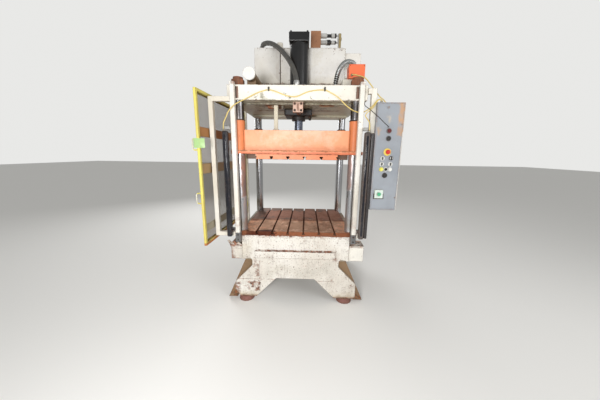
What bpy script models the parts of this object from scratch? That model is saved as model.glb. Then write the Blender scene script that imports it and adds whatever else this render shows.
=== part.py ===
# A four-column hydraulic press with a T-slotted bolster, guarded sides and a control console.
# Units are metres. X runs across the press, Y from its front face to the back, Z up from the floor.
import math

import bmesh
import bpy
from mathutils import Vector

for old in list(bpy.data.objects):
    bpy.data.objects.remove(old)

# Clearances and steps that the whole press shares
GAP = 0.0003
OVERRUN = 0.02
WELD = 0.004
WELD_DISTANCE = 0.00005
ROUND_STEPS = 32
SMALL_STEPS = 16
SMOOTH_ANGLE = math.radians(35)
FLAT_ANGLE = math.radians(0.1)

# Press frame
PRESS_HALF = 0.530
BOX_HALF = 0.500
PRESS_DEPTH = 0.966
BED_TOP = 0.710
BOLSTER_THICKNESS = 0.041
DAYLIGHT = 0.697
COLUMN_X = 0.527
COLUMN_INSET = 0.060
COLUMN_RADIUS = 0.044
COLUMN_HOLE_CLEARANCE = 0.0012
CROWN_UNDER = 1.960
CROWN_TOP = 2.083
BORE_RADIUS = 0.0765
MID_Y = PRESS_DEPTH / 2
REAR_COLUMN_Y = PRESS_DEPTH - COLUMN_INSET
COLUMN_PLACES = [
    ("front_left", -COLUMN_X, COLUMN_INSET),
    ("front_right", COLUMN_X, COLUMN_INSET),
    ("rear_left", -COLUMN_X, REAR_COLUMN_Y),
    ("rear_right", COLUMN_X, REAR_COLUMN_Y),
]

# T-slots, in the bolster and in the ram's platen
SLOT_PITCH = 0.1524
SLOT_COUNT = 6
SLOT_NECK = 0.017
SLOT_HEAD = 0.030
SLOT_NECK_DEPTH = 0.016
SLOT_HEAD_DEPTH = 0.012

# Guard door, whose outer corner and handles set the left and front reach of the press
DOOR_LENGTH = 1.165
DOOR_BAR = 0.022
DOOR_DEPTH = 0.022
DOOR_BOTTOM = 0.680
DOOR_TOP = 2.005
DOOR_HINGE_X = -0.7165
DOOR_HINGE_INSET = 0.021
DOOR_HINGE_Y = PRESS_DEPTH - DOOR_HINGE_INSET
DOOR_TURN = math.radians(-4.0)
HANDLE_REACH = 0.050
HANDLE_RADIUS = 0.006

# Console, which sets the right reach of the press
CONSOLE_LEFT = 0.685
CONSOLE_RIGHT = 0.922
CONSOLE_BOTTOM = 1.003
CONSOLE_TOP = 1.937
CONSOLE_FRONT = -0.050
CONSOLE_DEPTH = 0.128

# Power unit shelf, which sets the rear reach of the press
SHELF_DEPTH = 0.290
SHELF_REAR = PRESS_DEPTH + SHELF_DEPTH

# The origin is under the middle of the whole machine, on the floor
HANDLE_ALONG = DOOR_LENGTH - DOOR_BAR / 2
HANDLE_OUT = DOOR_DEPTH / 2 + HANDLE_REACH
LEFT_REACH = DOOR_HINGE_X + HANDLE_ALONG * math.sin(DOOR_TURN) - HANDLE_OUT * math.cos(DOOR_TURN)
FRONT_REACH = DOOR_HINGE_Y - DOOR_LENGTH * math.cos(DOOR_TURN) + DOOR_DEPTH / 2 * math.sin(DOOR_TURN)
ORIGIN_X = -(LEFT_REACH + CONSOLE_RIGHT) / 2
ORIGIN_Y = -(FRONT_REACH + SHELF_REAR) / 2


def collection(name):
    made = bpy.data.collections.new(name)
    bpy.context.scene.collection.children.link(made)
    return made


PARTS = collection("hydraulic_press")
CUTTERS = collection("cutters")

ORIGIN = bpy.data.objects.new("press_origin", None)
ORIGIN.location = (ORIGIN_X, ORIGIN_Y, 0)
PARTS.objects.link(ORIGIN)


def material(name, colour, roughness, metallic):
    made = bpy.data.materials.new(name)
    made.use_nodes = True
    shader = made.node_tree.nodes["Principled BSDF"]
    shader.inputs["Base Color"].default_value = (*colour, 1)
    shader.inputs["Roughness"].default_value = roughness
    shader.inputs["Metallic"].default_value = metallic
    return made


WHITE = material("cream_paint", (0.80, 0.76, 0.68), 0.6, 0.0)
TAN = material("dirty_paint", (0.42, 0.33, 0.24), 0.8, 0.0)
RUST = material("rusty_steel", (0.30, 0.12, 0.06), 0.8, 0.6)
ORANGE = material("orange_paint", (0.86, 0.30, 0.12), 0.5, 0.0)
CHROME = material("chrome", (0.70, 0.71, 0.72), 0.15, 1.0)
BLACK = material("black_paint", (0.03, 0.03, 0.035), 0.5, 0.0)
GREY_STEEL = material("grey_steel", (0.30, 0.31, 0.32), 0.45, 1.0)
BLUE_GREY = material("blue_grey_paint", (0.36, 0.42, 0.50), 0.5, 0.0)
YELLOW = material("yellow_paint", (0.80, 0.74, 0.20), 0.5, 0.0)
MESH_BROWN = material("mesh_brown", (0.22, 0.17, 0.11), 0.8, 0.3)
RUBBER = material("rubber", (0.04, 0.04, 0.045), 0.7, 0.0)
CABLE_YELLOW = material("cable_yellow", (0.75, 0.55, 0.22), 0.5, 0.0)
PAD_RED = material("pad_red", (0.42, 0.10, 0.08), 0.7, 0.0)
BROWN = material("brown_primer", (0.40, 0.22, 0.13), 0.7, 0.0)
RED = material("red_plastic", (0.60, 0.03, 0.03), 0.4, 0.0)
GREEN = material("green_plastic", (0.05, 0.45, 0.22), 0.4, 0.0)
BUTTON_YELLOW = material("yellow_plastic", (0.85, 0.75, 0.10), 0.4, 0.0)
BUTTON_WHITE = material("white_plastic", (0.85, 0.85, 0.82), 0.4, 0.0)


def add(name, mesh, finish, place=(0, 0, 0)):
    made = bpy.data.objects.new(name, mesh)
    made.location = place
    made.parent = ORIGIN
    PARTS.objects.link(made)
    if finish is not None:
        mesh.materials.clear()
        mesh.materials.append(finish)
    return made


def mesh_of(name, shape):
    mesh = bpy.data.meshes.new(name)
    shape.to_mesh(mesh)
    shape.free()
    return mesh


def box(name, x, y, z, finish=None):
    # A block between two values on each axis, with its own centre as its origin.
    shape = bmesh.new()
    bmesh.ops.create_cube(shape, size=1)
    size = Vector((x[1] - x[0], y[1] - y[0], z[1] - z[0]))
    bmesh.ops.scale(shape, vec=size, verts=shape.verts)
    centre = ((x[0] + x[1]) / 2, (y[0] + y[1]) / 2, (z[0] + z[1]) / 2)
    return add(name, mesh_of(name, shape), finish, centre)


def cylinder(name, radius, low, high, centre, finish=None, axis="Z", steps=ROUND_STEPS, top=None):
    # A straight or tapering round bar between two values on its axis; centre holds the other two.
    shape = bmesh.new()
    end = radius if top is None else top
    bmesh.ops.create_cone(
        shape, cap_ends=True, segments=steps, radius1=radius, radius2=end, depth=high - low
    )
    mesh = mesh_of(name, shape)
    middle = (low + high) / 2
    if axis == "Z":
        made = add(name, mesh, finish, (centre[0], centre[1], middle))
    elif axis == "Y":
        made = add(name, mesh, finish, (centre[0], middle, centre[1]))
        made.rotation_euler = (math.radians(-90), 0, 0)
    else:
        made = add(name, mesh, finish, (middle, centre[0], centre[1]))
        made.rotation_euler = (0, math.radians(90), 0)
    smooth(made)
    return made


def smooth(made):
    made.data.shade_smooth()
    made.data.set_sharp_from_angle(angle=SMOOTH_ANGLE)


def turned(name, profile, place, finish, steps=ROUND_STEPS, closed=False):
    # A profile of (radius, height) points, from the top down its outer side, turned about Z.
    mesh = bpy.data.meshes.new(name)
    points = [(radius, 0, height) for radius, height in profile]
    edges = [(i, i + 1) for i in range(len(points) - 1)]
    if closed:
        edges.append((len(points) - 1, 0))
    mesh.from_pydata(points, edges, [])
    made = add(name, mesh, finish, place)
    screw = made.modifiers.new("turn", "SCREW")
    screw.steps = steps
    screw.render_steps = steps
    screw.use_merge_vertices = True
    screw.merge_threshold = WELD_DISTANCE
    return made


def outline(name, points, low, high, finish=None):
    # A flat outline of (x, z) points standing across the press, between two values of Y.
    curve = bpy.data.curves.new(name, "CURVE")
    curve.dimensions = "2D"
    curve.fill_mode = "BOTH"
    curve.extrude = (high - low) / 2
    line = curve.splines.new("POLY")
    line.points.add(len(points) - 1)
    for point, (x, z) in zip(line.points, points):
        point.co = (x, z, 0, 1)
    line.use_cyclic_u = True
    guide = add(name, curve, None, (0, (low + high) / 2, 0))
    guide.rotation_euler = (math.radians(90), 0, 0)
    return solid(guide, finish)


def tube(name, points, radius, finish, sides=2, closed=False):
    # A round tube along points that are joined by straight, short stretches.
    curve = bpy.data.curves.new(name, "CURVE")
    curve.dimensions = "3D"
    curve.bevel_depth = radius
    curve.bevel_resolution = sides
    curve.use_fill_caps = True
    line = curve.splines.new("POLY")
    line.points.add(len(points) - 1)
    for point, place in zip(line.points, points):
        point.co = (*place, 1)
    line.use_cyclic_u = closed
    return add(name, curve, finish)


def solid(guide, finish):
    # The mesh of a curve, welded shut, so that it can be cut and joined.
    bpy.context.view_layer.update()
    seen = guide.evaluated_get(bpy.context.evaluated_depsgraph_get())
    mesh = bpy.data.meshes.new_from_object(seen)
    shape = bmesh.new()
    shape.from_mesh(mesh)
    bmesh.ops.remove_doubles(shape, verts=shape.verts, dist=WELD_DISTANCE)
    bmesh.ops.dissolve_limit(shape, angle_limit=FLAT_ANGLE, verts=shape.verts, edges=shape.edges)
    bmesh.ops.recalc_face_normals(shape, faces=shape.faces)
    shape.to_mesh(mesh)
    shape.free()
    name = guide.name
    place = guide.location.copy()
    turn = guide.rotation_euler.copy()
    bpy.data.objects.remove(guide)
    made = add(name, mesh, finish, place)
    made.rotation_euler = turn
    return made


def operate(target, tool, operation):
    change = target.modifiers.new(tool.name, "BOOLEAN")
    change.operation = operation
    change.solver = "EXACT"
    change.object = tool
    if tool.name in PARTS.objects:
        PARTS.objects.unlink(tool)
        CUTTERS.objects.link(tool)
    tool.hide_render = True
    tool.display_type = "WIRE"


def cut(target, *tools):
    for tool in tools:
        operate(target, tool, "DIFFERENCE")


def join(target, *tools):
    for tool in tools:
        operate(target, tool, "UNION")


def merged(name, tools):
    # One mesh that holds several separate cutters, so that a single cut makes all the holes.
    bpy.context.view_layer.update()
    shape = bmesh.new()
    for tool in tools:
        part = bmesh.new()
        part.from_mesh(tool.data)
        part.transform(tool.matrix_basis)
        held = bpy.data.meshes.new(name)
        part.to_mesh(held)
        part.free()
        shape.from_mesh(held)
        bpy.data.meshes.remove(held)
    for tool in tools:
        bpy.data.objects.remove(tool)
    return add(name, mesh_of(name, shape), None)


def arc(centre, radius, start, end, steps):
    # Points (x, z) on an arc, with its angles in degrees.
    points = []
    for i in range(steps + 1):
        angle = math.radians(start + (end - start) * i / steps)
        points.append((centre[0] + radius * math.cos(angle), centre[1] + radius * math.sin(angle)))
    return points


def mirrored(points):
    return [(-x, z) for x, z in reversed(points)]


def routed(points, spacing):
    # A route whose first and last stretches stay straight, so that its ends meet faces squarely.
    first = Vector(points[0])
    last = Vector(points[-1])
    return [first] + spline(points[1:-1], spacing) + [last]


def spline(points, spacing):
    # Points at even spacing along a smooth curve through the route's own points.
    places = [Vector(point) for point in points]
    ends = [places[0] * 2 - places[1]] + places + [places[-1] * 2 - places[-2]]
    fine = []
    steps = 40
    for i in range(len(places) - 1):
        a, b, c, d = ends[i : i + 4]
        for k in range(steps):
            t = k / steps
            fine.append(
                (2 * b + (c - a) * t + (2 * a - 5 * b + 4 * c - d) * t**2 + (3 * b - a - 3 * c + d) * t**3)
                / 2
            )
    fine.append(places[-1])
    lengths = [0]
    for a, b in zip(fine, fine[1:]):
        lengths.append(lengths[-1] + (b - a).length)
    count = max(2, round(lengths[-1] / spacing))
    out = []
    at = 0
    for k in range(count + 1):
        want = lengths[-1] * k / count
        while at < len(lengths) - 2 and lengths[at + 1] < want:
            at += 1
        share = (want - lengths[at]) / (lengths[at + 1] - lengths[at])
        out.append(fine[at].lerp(fine[at + 1], share))
    return out


# Bed plates: one flat plate at each end of the bed, with its two splayed feet
PLATE_THICKNESS = 0.025
FOOT_BOTTOM = 0.042
FOOT_INNER = 0.400
FOOT_OUTER = 0.616
FOOT_SHOULDER = 0.200
FOOT_CHAMFER_ACROSS = 0.048
FOOT_CHAMFER_UP = 0.080
ARCH_HALF = 0.194
ARCH_TOP = 0.250
WAIST_INSET = 0.066
WAIST_HALF = BOX_HALF - WAIST_INSET
WAIST_TOP = 0.388
NOTCH_RADIUS = 0.032
BED_UNDER = 0.450
NOTCH_TOP = 0.468
NOTCH_STEPS = 6
FACE_BAR_HALF = 0.398
FACE_BAR_LOW = 0.479
FACE_BAR_HIGH = 0.549
FACE_BAR_PROUD = 0.018


def bed_half_outline(chamfered):
    # The right half of a bed plate, from the top middle round to the bottom middle.
    notch = arc((WAIST_HALF + NOTCH_RADIUS, NOTCH_TOP - NOTCH_RADIUS), NOTCH_RADIUS, 90, 180, NOTCH_STEPS)
    foot = [(FOOT_OUTER, FOOT_SHOULDER)]
    if chamfered:
        foot += [
            (FOOT_OUTER, FOOT_BOTTOM + FOOT_CHAMFER_UP),
            (FOOT_OUTER - FOOT_CHAMFER_ACROSS, FOOT_BOTTOM),
        ]
    else:
        foot += [(FOOT_OUTER, FOOT_BOTTOM)]
    return (
        [(PRESS_HALF, BED_TOP), (PRESS_HALF, BED_UNDER)]
        + notch
        + [(WAIST_HALF, WAIST_TOP)]
        + foot
        + [(FOOT_INNER, FOOT_BOTTOM), (ARCH_HALF, ARCH_TOP)]
    )


def bed_plates():
    right = bed_half_outline(False)
    left = mirrored(bed_half_outline(True))
    front = outline("bed_front_plate", right + left, 0, PLATE_THICKNESS, WHITE)
    bar = box(
        "face_bar",
        (-FACE_BAR_HALF, FACE_BAR_HALF),
        (-FACE_BAR_PROUD, PLATE_THICKNESS / 2),
        (FACE_BAR_LOW, FACE_BAR_HIGH),
    )
    join(front, bar)
    rear_left = mirrored(bed_half_outline(False))
    outline("bed_rear_plate", right + rear_left, PRESS_DEPTH - PLATE_THICKNESS, PRESS_DEPTH, WHITE)


# Bed frame: the box between the plates, its deck, inner leg plates, corner boxes and gussets
BOX_UNDER = 0.456
DECK_OVERHANG = 0.090
DECK_HALF = BOX_HALF + DECK_OVERHANG
DECK_THICKNESS = 0.030
RIB = 0.025
BAYS_ACROSS = 4
BAYS_ALONG = 3
INNER_PLATE = 0.026
INNER_SET_BACK = 0.0012
INNER_SHOULDER = 0.015
INNER_TOP_X = BOX_HALF + INNER_SHOULDER
INNER_TOP_Z = 0.430
INNER_FLARE = 0.082
INNER_FOOT_X = FOOT_OUTER + INNER_FLARE
INNER_FOOT_BOTTOM = 0.014
INNER_STEP = 0.011
INNER_STEP_X = FOOT_OUTER - INNER_STEP
INNER_CROTCH_X = 0.300
INNER_CROTCH_Z = 0.200
INNER_ROOT_Z = 0.480
WING_LEFT_REACH = 0.150
WING_LEFT = BOX_HALF + WING_LEFT_REACH
WING_RIGHT_REACH = 0.178
WING_RIGHT = BOX_HALF + WING_RIGHT_REACH
WING_LOW = 0.446
WING_HIGH = 0.594
WING_DEPTH = 0.150
GUSSET = 0.012
GUSSET_TIP_SHARE = 0.9
GUSSET_SET_BACK = 0.060
DECK_LEDGE = DECK_THICKNESS / 2


def leg_outline(side):
    # One inner leg plate, on the side that the sign gives.
    points = [
        (WAIST_HALF - PLATE_THICKNESS, INNER_ROOT_Z),
        (BOX_HALF - PLATE_THICKNESS, INNER_ROOT_Z),
        (INNER_TOP_X, INNER_TOP_Z),
        (INNER_FOOT_X, INNER_FOOT_BOTTOM),
        (INNER_STEP_X, INNER_FOOT_BOTTOM),
        (INNER_STEP_X, FOOT_BOTTOM),
        (FOOT_INNER + PLATE_THICKNESS, FOOT_BOTTOM),
        (INNER_CROTCH_X, INNER_CROTCH_Z),
    ]
    if side > 0:
        return points
    return mirrored(points)


def bed_frame():
    front = PLATE_THICKNESS + GAP
    rear = PRESS_DEPTH - front
    deck_under = BED_TOP - DECK_THICKNESS
    frame = box("bed_frame", (-BOX_HALF, BOX_HALF), (front, rear), (BOX_UNDER, BED_TOP - DECK_LEDGE), TAN)
    deck = box("deck", (-DECK_HALF, DECK_HALF), (front, rear), (deck_under, BED_TOP))
    join(frame, deck)
    for side, reach in ((-1, WING_LEFT), (1, WING_RIGHT)):
        edges = sorted((side * (BOX_HALF - RIB / 2), side * reach))
        for wing_front in (front + INNER_SET_BACK, rear - INNER_SET_BACK - WING_DEPTH):
            wing = box(
                "wing", edges, (wing_front, wing_front + WING_DEPTH), (WING_LOW, WING_HIGH)
            )
            join(frame, wing)
            tip = side * reach * GUSSET_TIP_SHARE
            root = side * (BOX_HALF - RIB / 2)
            top = deck_under + DECK_THICKNESS / 2
            gusset_points = [
                (root, WING_HIGH - RIB / 2),
                (tip, WING_HIGH - RIB / 2),
                (tip, WING_HIGH + RIB / 2),
                (side * DECK_HALF - side * RIB / 2, top),
                (root, top),
            ]
            middle = wing_front + GUSSET_SET_BACK
            join(frame, outline("gusset", gusset_points, middle, middle + GUSSET))
        for low in (front + INNER_SET_BACK, rear - INNER_SET_BACK - INNER_PLATE):
            join(frame, outline("inner_leg", leg_outline(side), low, low + INNER_PLATE))
    bays = []
    bay_width = (BOX_HALF * 2 - RIB * (BAYS_ACROSS + 1)) / BAYS_ACROSS
    bay_depth = (rear - front - RIB * (BAYS_ALONG + 1)) / BAYS_ALONG
    for i in range(BAYS_ALONG):
        start = front + RIB + i * (bay_depth + RIB)
        for k in range(BAYS_ACROSS):
            left = -BOX_HALF + RIB + k * (bay_width + RIB)
            across = (left, left + bay_width)
            bays.append(box("bay", across, (start, start + bay_depth), (BOX_UNDER - OVERRUN, deck_under)))
    cut(frame, merged("bed_bays", bays))


# Levelling pads: a domed foot with a short screw's collar under each foot of the bed
PAD_RADIUS = 0.078
PAD_EDGE = 0.012
PAD_TOP_RADIUS = 0.058
PAD_X = 0.510
PAD_INSET = 0.045


def levelling_pads():
    top = FOOT_BOTTOM - GAP
    profile = [(0, top), (PAD_TOP_RADIUS, top), (PAD_RADIUS, PAD_EDGE), (PAD_RADIUS, 0), (0, 0)]
    for name, x, y in COLUMN_PLACES:
        across = math.copysign(PAD_X, x)
        back = PAD_INSET if y < MID_Y else PRESS_DEPTH - PAD_INSET
        turned("pad_" + name, profile, (across, back, 0), PAD_RED, steps=SMALL_STEPS)


def slot_places():
    return [(i - (SLOT_COUNT - 1) / 2) * SLOT_PITCH for i in range(SLOT_COUNT)]


def slotted_plate(name, half, low, high, face_up):
    # A plate with a T-slot at each place along its depth, open on its upper or its lower face.
    plate = box(name, (-half, half), (0, PRESS_DEPTH), (low, high), RUST)
    face = high if face_up else low
    into = -1 if face_up else 1
    neck = face + into * SLOT_NECK_DEPTH
    head = neck + into * SLOT_HEAD_DEPTH
    along = (-OVERRUN, PRESS_DEPTH + OVERRUN)
    necks = []
    heads = []
    for x in slot_places():
        across = (x - SLOT_NECK / 2, x + SLOT_NECK / 2)
        necks.append(box("slot_neck", across, along, sorted((face - into * OVERRUN, neck + into * WELD))))
        across = (x - SLOT_HEAD / 2, x + SLOT_HEAD / 2)
        heads.append(box("slot_head", across, along, sorted((neck, head))))
    cut(plate, merged("slot_necks", necks), merged("slot_heads", heads))
    return plate


# Bolster: the slotted table plate, notched round the columns
BOLSTER_TOP = BED_TOP + BOLSTER_THICKNESS
COLUMN_CLEAR = 0.003
JOINT_Y = 0.402
JOINT_WIDTH = 0.006
JOINT_DEPTH = 0.008


def bolster():
    plate = slotted_plate("bolster", PRESS_HALF, BED_TOP + GAP, BOLSTER_TOP, True)
    holes = []
    for name, x, y in COLUMN_PLACES:
        radius = COLUMN_RADIUS + COLUMN_CLEAR
        holes.append(cylinder("hole", radius, BED_TOP - OVERRUN, BOLSTER_TOP + OVERRUN, (x, y)))
    joint = box(
        "joint",
        (-PRESS_HALF - OVERRUN, PRESS_HALF + OVERRUN),
        (JOINT_Y, JOINT_Y + JOINT_WIDTH),
        (BOLSTER_TOP - JOINT_DEPTH, BOLSTER_TOP + OVERRUN),
    )
    cut(plate, merged("bolster_holes", holes), joint)


# Columns: chrome bars from the deck up through the crown, each with its nut
COLUMN_STUB = 0.020
NUT_RADIUS = 0.059
NUT_HEIGHT = 0.052
NUT_SIDES = 6


def columns():
    for name, x, y in COLUMN_PLACES:
        nut_low = CROWN_TOP + GAP
        top = nut_low + NUT_HEIGHT + COLUMN_STUB
        bar = cylinder("column_" + name, COLUMN_RADIUS, BED_TOP + GAP, top, (x, y), CHROME)
        nut = cylinder("nut", NUT_RADIUS, nut_low, nut_low + NUT_HEIGHT, (x, y), steps=NUT_SIDES)
        join(bar, nut)


# Crown: a welded box with a stepped underside, open at its front and rear corners
CROWN_HALF = 0.611
CROWN_FRONT_HALF = 0.512
CROWN_PLATE = 0.0127
CROWN_END = 0.030
CROWN_BEAM_DEPTH = 0.142
POCKET_MARGIN = 0.012
MID_PLATE_UNDER = 1.950
MID_PLATE_HALF = 0.560
MID_PLATE_INSET = 0.176
MID_PLATE_BACK = PRESS_DEPTH - MID_PLATE_INSET
REAR_MEMBER_UNDER = 1.925
REAR_MEMBER_DEPTH = 0.226
REAR_MEMBER_FRONT = PRESS_DEPTH - REAR_MEMBER_DEPTH
BARREL_RADIUS = 0.0945
BARREL_CLEAR = 0.0005
LUG_X = 0.592
LUG_RADIUS = 0.011
LUG_HEIGHT = 0.060
LUG_INSET = 0.150


def crown():
    body = box("crown", (-CROWN_HALF, CROWN_HALF), (0, PRESS_DEPTH), (CROWN_UNDER, CROWN_TOP), WHITE)
    under_top = CROWN_UNDER + CROWN_PLATE
    middle = box(
        "mid_plate",
        (-MID_PLATE_HALF, MID_PLATE_HALF),
        (CROWN_BEAM_DEPTH, MID_PLATE_BACK),
        (MID_PLATE_UNDER, under_top),
    )
    rear = box(
        "rear_member",
        (-MID_PLATE_HALF, MID_PLATE_HALF),
        (REAR_MEMBER_FRONT, PRESS_DEPTH - CROWN_PLATE),
        (REAR_MEMBER_UNDER, under_top),
    )
    join(body, middle, rear)
    roof = CROWN_TOP - CROWN_PLATE
    pocket_wall = CROWN_HALF - CROWN_END
    pockets = []
    mouths = []
    for side in (-1, 1):
        for mouth, face in ((-OVERRUN, 0), (PRESS_DEPTH + OVERRUN, PRESS_DEPTH)):
            inward = 1 if face == 0 else -1
            near = face + inward * CROWN_PLATE
            far = face + inward * (CROWN_BEAM_DEPTH - CROWN_PLATE)
            edges = sorted((side * (COLUMN_X - COLUMN_RADIUS - POCKET_MARGIN), side * pocket_wall))
            pockets.append(box("pocket", edges, sorted((near, far)), (under_top, roof)))
            edges = sorted((side * CROWN_FRONT_HALF, side * pocket_wall))
            mouths.append(box("mouth", edges, sorted((mouth, (near + far) / 2)), (under_top, roof)))
    cut(body, merged("crown_pockets", pockets), merged("crown_mouths", mouths))
    holes = []
    for name, x, y in COLUMN_PLACES:
        radius = COLUMN_RADIUS + COLUMN_HOLE_CLEARANCE
        holes.append(cylinder("hole", radius, REAR_MEMBER_UNDER - OVERRUN, CROWN_TOP + OVERRUN, (x, y)))
    barrel = BARREL_RADIUS + BARREL_CLEAR
    holes.append(cylinder("hole", barrel, REAR_MEMBER_UNDER - OVERRUN, CROWN_TOP + OVERRUN, (0, MID_Y)))
    cut(body, merged("crown_holes", holes))
    for side in (-1, 1):
        lug = cylinder(
            "lug",
            LUG_RADIUS,
            CROWN_TOP - WELD,
            CROWN_TOP + LUG_HEIGHT,
            (side * LUG_X, LUG_INSET),
            steps=SMALL_STEPS,
        )
        join(body, lug)
    return body


# Cylinder: barrel, end cap, gland with its nose, port block with its pipe, piston and rod
GLAND_TOP = MID_PLATE_UNDER - GAP
GLAND_HALF = 0.142
GLAND_THICKNESS = 0.066
GLAND_BEVEL = 0.012
NOSE_RADIUS = 0.072
NOSE_DROP = 0.036
ROD_RADIUS = 0.046
ROD_CLEAR = 0.0005
BARREL_TOP = 2.585
CAP_HALF = 0.101
CAP_THICKNESS = 0.084
CAP_BEVEL = 0.008
CAP_BOLT_RADIUS = 0.010
CAP_BOLT_HEIGHT = 0.012
PISTON_THICKNESS = 0.060
PISTON_CLEAR = 0.0005
STROKE_DOWN = 0.500
STROKE_UP = 0.020
PISTON_REST = GLAND_TOP + STROKE_DOWN
PORT_X = 0.008
PORT_HALF = 0.046
PORT_FRONT = 0.066
PORT_DEPTH = 0.060
PORT_HEIGHT = 0.088
PORT_PIPE = 0.030


def cylinder_set():
    profile = [
        (BORE_RADIUS, BARREL_TOP),
        (BARREL_RADIUS, BARREL_TOP),
        (BARREL_RADIUS, MID_PLATE_UNDER),
        (BORE_RADIUS, MID_PLATE_UNDER),
    ]
    turned("cylinder_barrel", profile, (0, MID_Y, 0), BLACK, closed=True)
    cap_low = BARREL_TOP + GAP
    cap = box(
        "cylinder_cap",
        (-CAP_HALF, CAP_HALF),
        (MID_Y - CAP_HALF, MID_Y + CAP_HALF),
        (cap_low, cap_low + CAP_THICKNESS),
        BLACK,
    )
    soften(cap, CAP_BEVEL)
    for across in (-1, 1):
        for back in (-1, 1):
            reach = CAP_HALF - CAP_BOLT_RADIUS * 2
            place = (across * reach, MID_Y + back * reach)
            cap_top = cap_low + CAP_THICKNESS
            bolt = cylinder(
                "cap_bolt", CAP_BOLT_RADIUS, cap_top - WELD, cap_top + CAP_BOLT_HEIGHT, place, steps=NUT_SIDES
            )
            join(cap, bolt)
    gland_low = GLAND_TOP - GLAND_THICKNESS
    gland = box(
        "cylinder_gland",
        (-GLAND_HALF, GLAND_HALF),
        (MID_Y - GLAND_HALF, MID_Y + GLAND_HALF),
        (gland_low, GLAND_TOP),
        GREY_STEEL,
    )
    soften(gland, GLAND_BEVEL)
    join(gland, cylinder("nose", NOSE_RADIUS, gland_low - NOSE_DROP, gland_low + WELD, (0, MID_Y)))
    bore = cylinder(
        "gland_bore",
        ROD_RADIUS + ROD_CLEAR,
        gland_low - NOSE_DROP - OVERRUN,
        GLAND_TOP + OVERRUN,
        (0, MID_Y),
    )
    cut(gland, bore)
    port_top = CROWN_UNDER - GAP
    port = box(
        "port_block",
        (PORT_X - PORT_HALF, PORT_X + PORT_HALF),
        (PORT_FRONT, PORT_FRONT + PORT_DEPTH),
        (port_top - PORT_HEIGHT, port_top),
        BROWN,
    )
    pipe = cylinder(
        "port_pipe",
        PORT_PIPE,
        PORT_FRONT + PORT_DEPTH - WELD,
        MID_Y - GLAND_HALF - GAP,
        (PORT_X, GLAND_TOP - GLAND_THICKNESS / 2),
        axis="Y",
        steps=SMALL_STEPS,
    )
    join(port, pipe)
    cylinder(
        "piston",
        BORE_RADIUS - PISTON_CLEAR,
        PISTON_REST + GAP,
        PISTON_REST + PISTON_THICKNESS,
        (0, MID_Y),
        GREY_STEEL,
    )
    cylinder("piston_rod", ROD_RADIUS, RAM_TOP + GAP, PISTON_REST, (0, MID_Y), CHROME)


def soften(made, width, segments=2):
    bevel = made.modifiers.new("soft_edges", "BEVEL")
    bevel.width = width
    bevel.segments = segments
    bevel.limit_method = "ANGLE"


# Ram: flange with four guide sleeves, a welded beam, and the slotted platen under it
PLATEN_THICKNESS = 0.047
FLANGE_THICKNESS = 0.031
FLANGE_HALF = 0.602
FLANGE_FRONT = 0.006
BEAM_HALF = 0.482
BEAM_SET_BACK = 0.030
BEAM_HEIGHT = 0.184
SLEEVE_RADIUS = 0.049
SLEEVE_HEIGHT = 0.267
BUSH_CLEAR = 0.0008
PLATEN_HALF = 0.490
PLATEN_CORNER_X = 0.378
PLATEN_CORNER_DEPTH = 0.125
RAM_RIB = 0.016
RAM_RIB_COUNT = 4
RAM_RIB_MARGIN = 0.050
RAM_RIB_FOOT_SHARE = 0.85
PLATEN_UNDER = BOLSTER_TOP + DAYLIGHT
FLANGE_UNDER = PLATEN_UNDER + PLATEN_THICKNESS
BEAM_LOW = FLANGE_UNDER + FLANGE_THICKNESS
RAM_TOP = BEAM_LOW + BEAM_HEIGHT


def ram():
    flange = box(
        "ram_frame",
        (-FLANGE_HALF, FLANGE_HALF),
        (FLANGE_FRONT, PRESS_DEPTH - FLANGE_FRONT),
        (FLANGE_UNDER + GAP, BEAM_LOW),
        ORANGE,
    )
    back = PRESS_DEPTH - BEAM_SET_BACK
    beam = box("beam", (-BEAM_HALF, BEAM_HALF), (BEAM_SET_BACK, back), (BEAM_LOW - WELD, RAM_TOP))
    join(flange, beam)
    ledge = FLANGE_HALF - BEAM_HALF
    ribs_from = COLUMN_INSET + SLEEVE_RADIUS + RAM_RIB_MARGIN
    pitch = (PRESS_DEPTH - ribs_from * 2 - RAM_RIB) / (RAM_RIB_COUNT - 1)
    for i in range(RAM_RIB_COUNT):
        low = ribs_from + i * pitch
        for side in (-1, 1):
            root = side * (BEAM_HALF - WELD)
            points = [
                (root, BEAM_LOW - WELD),
                (side * (BEAM_HALF + ledge * RAM_RIB_FOOT_SHARE), BEAM_LOW - WELD),
                (side * (BEAM_HALF + ledge * RAM_RIB_FOOT_SHARE), BEAM_LOW + RAM_RIB),
                (side * (BEAM_HALF + RAM_RIB), RAM_TOP - RAM_RIB),
                (root, RAM_TOP - RAM_RIB),
            ]
            join(flange, outline("ram_rib", points, low, low + RAM_RIB))
    bores = []
    for name, x, y in COLUMN_PLACES:
        sleeve_top = BEAM_LOW + SLEEVE_HEIGHT
        join(flange, cylinder("sleeve", SLEEVE_RADIUS, BEAM_LOW - WELD, sleeve_top, (x, y)))
        radius = COLUMN_RADIUS + BUSH_CLEAR
        bores.append(cylinder("bore", radius, FLANGE_UNDER - OVERRUN, sleeve_top + OVERRUN, (x, y)))
    cut(flange, merged("ram_bores", bores))


def platen():
    plate = slotted_plate("ram_platen", PLATEN_HALF, PLATEN_UNDER, FLANGE_UNDER, False)
    corners = []
    for name, x, y in COLUMN_PLACES:
        edges = sorted((math.copysign(PLATEN_CORNER_X, x), math.copysign(PLATEN_HALF + OVERRUN, x)))
        depth = (-OVERRUN, PLATEN_CORNER_DEPTH) if y < MID_Y else (
            PRESS_DEPTH - PLATEN_CORNER_DEPTH,
            PRESS_DEPTH + OVERRUN,
        )
        corners.append(box("corner", edges, depth, (PLATEN_UNDER - OVERRUN, FLANGE_UNDER + OVERRUN)))
    cut(plate, merged("platen_corners", corners))


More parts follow.
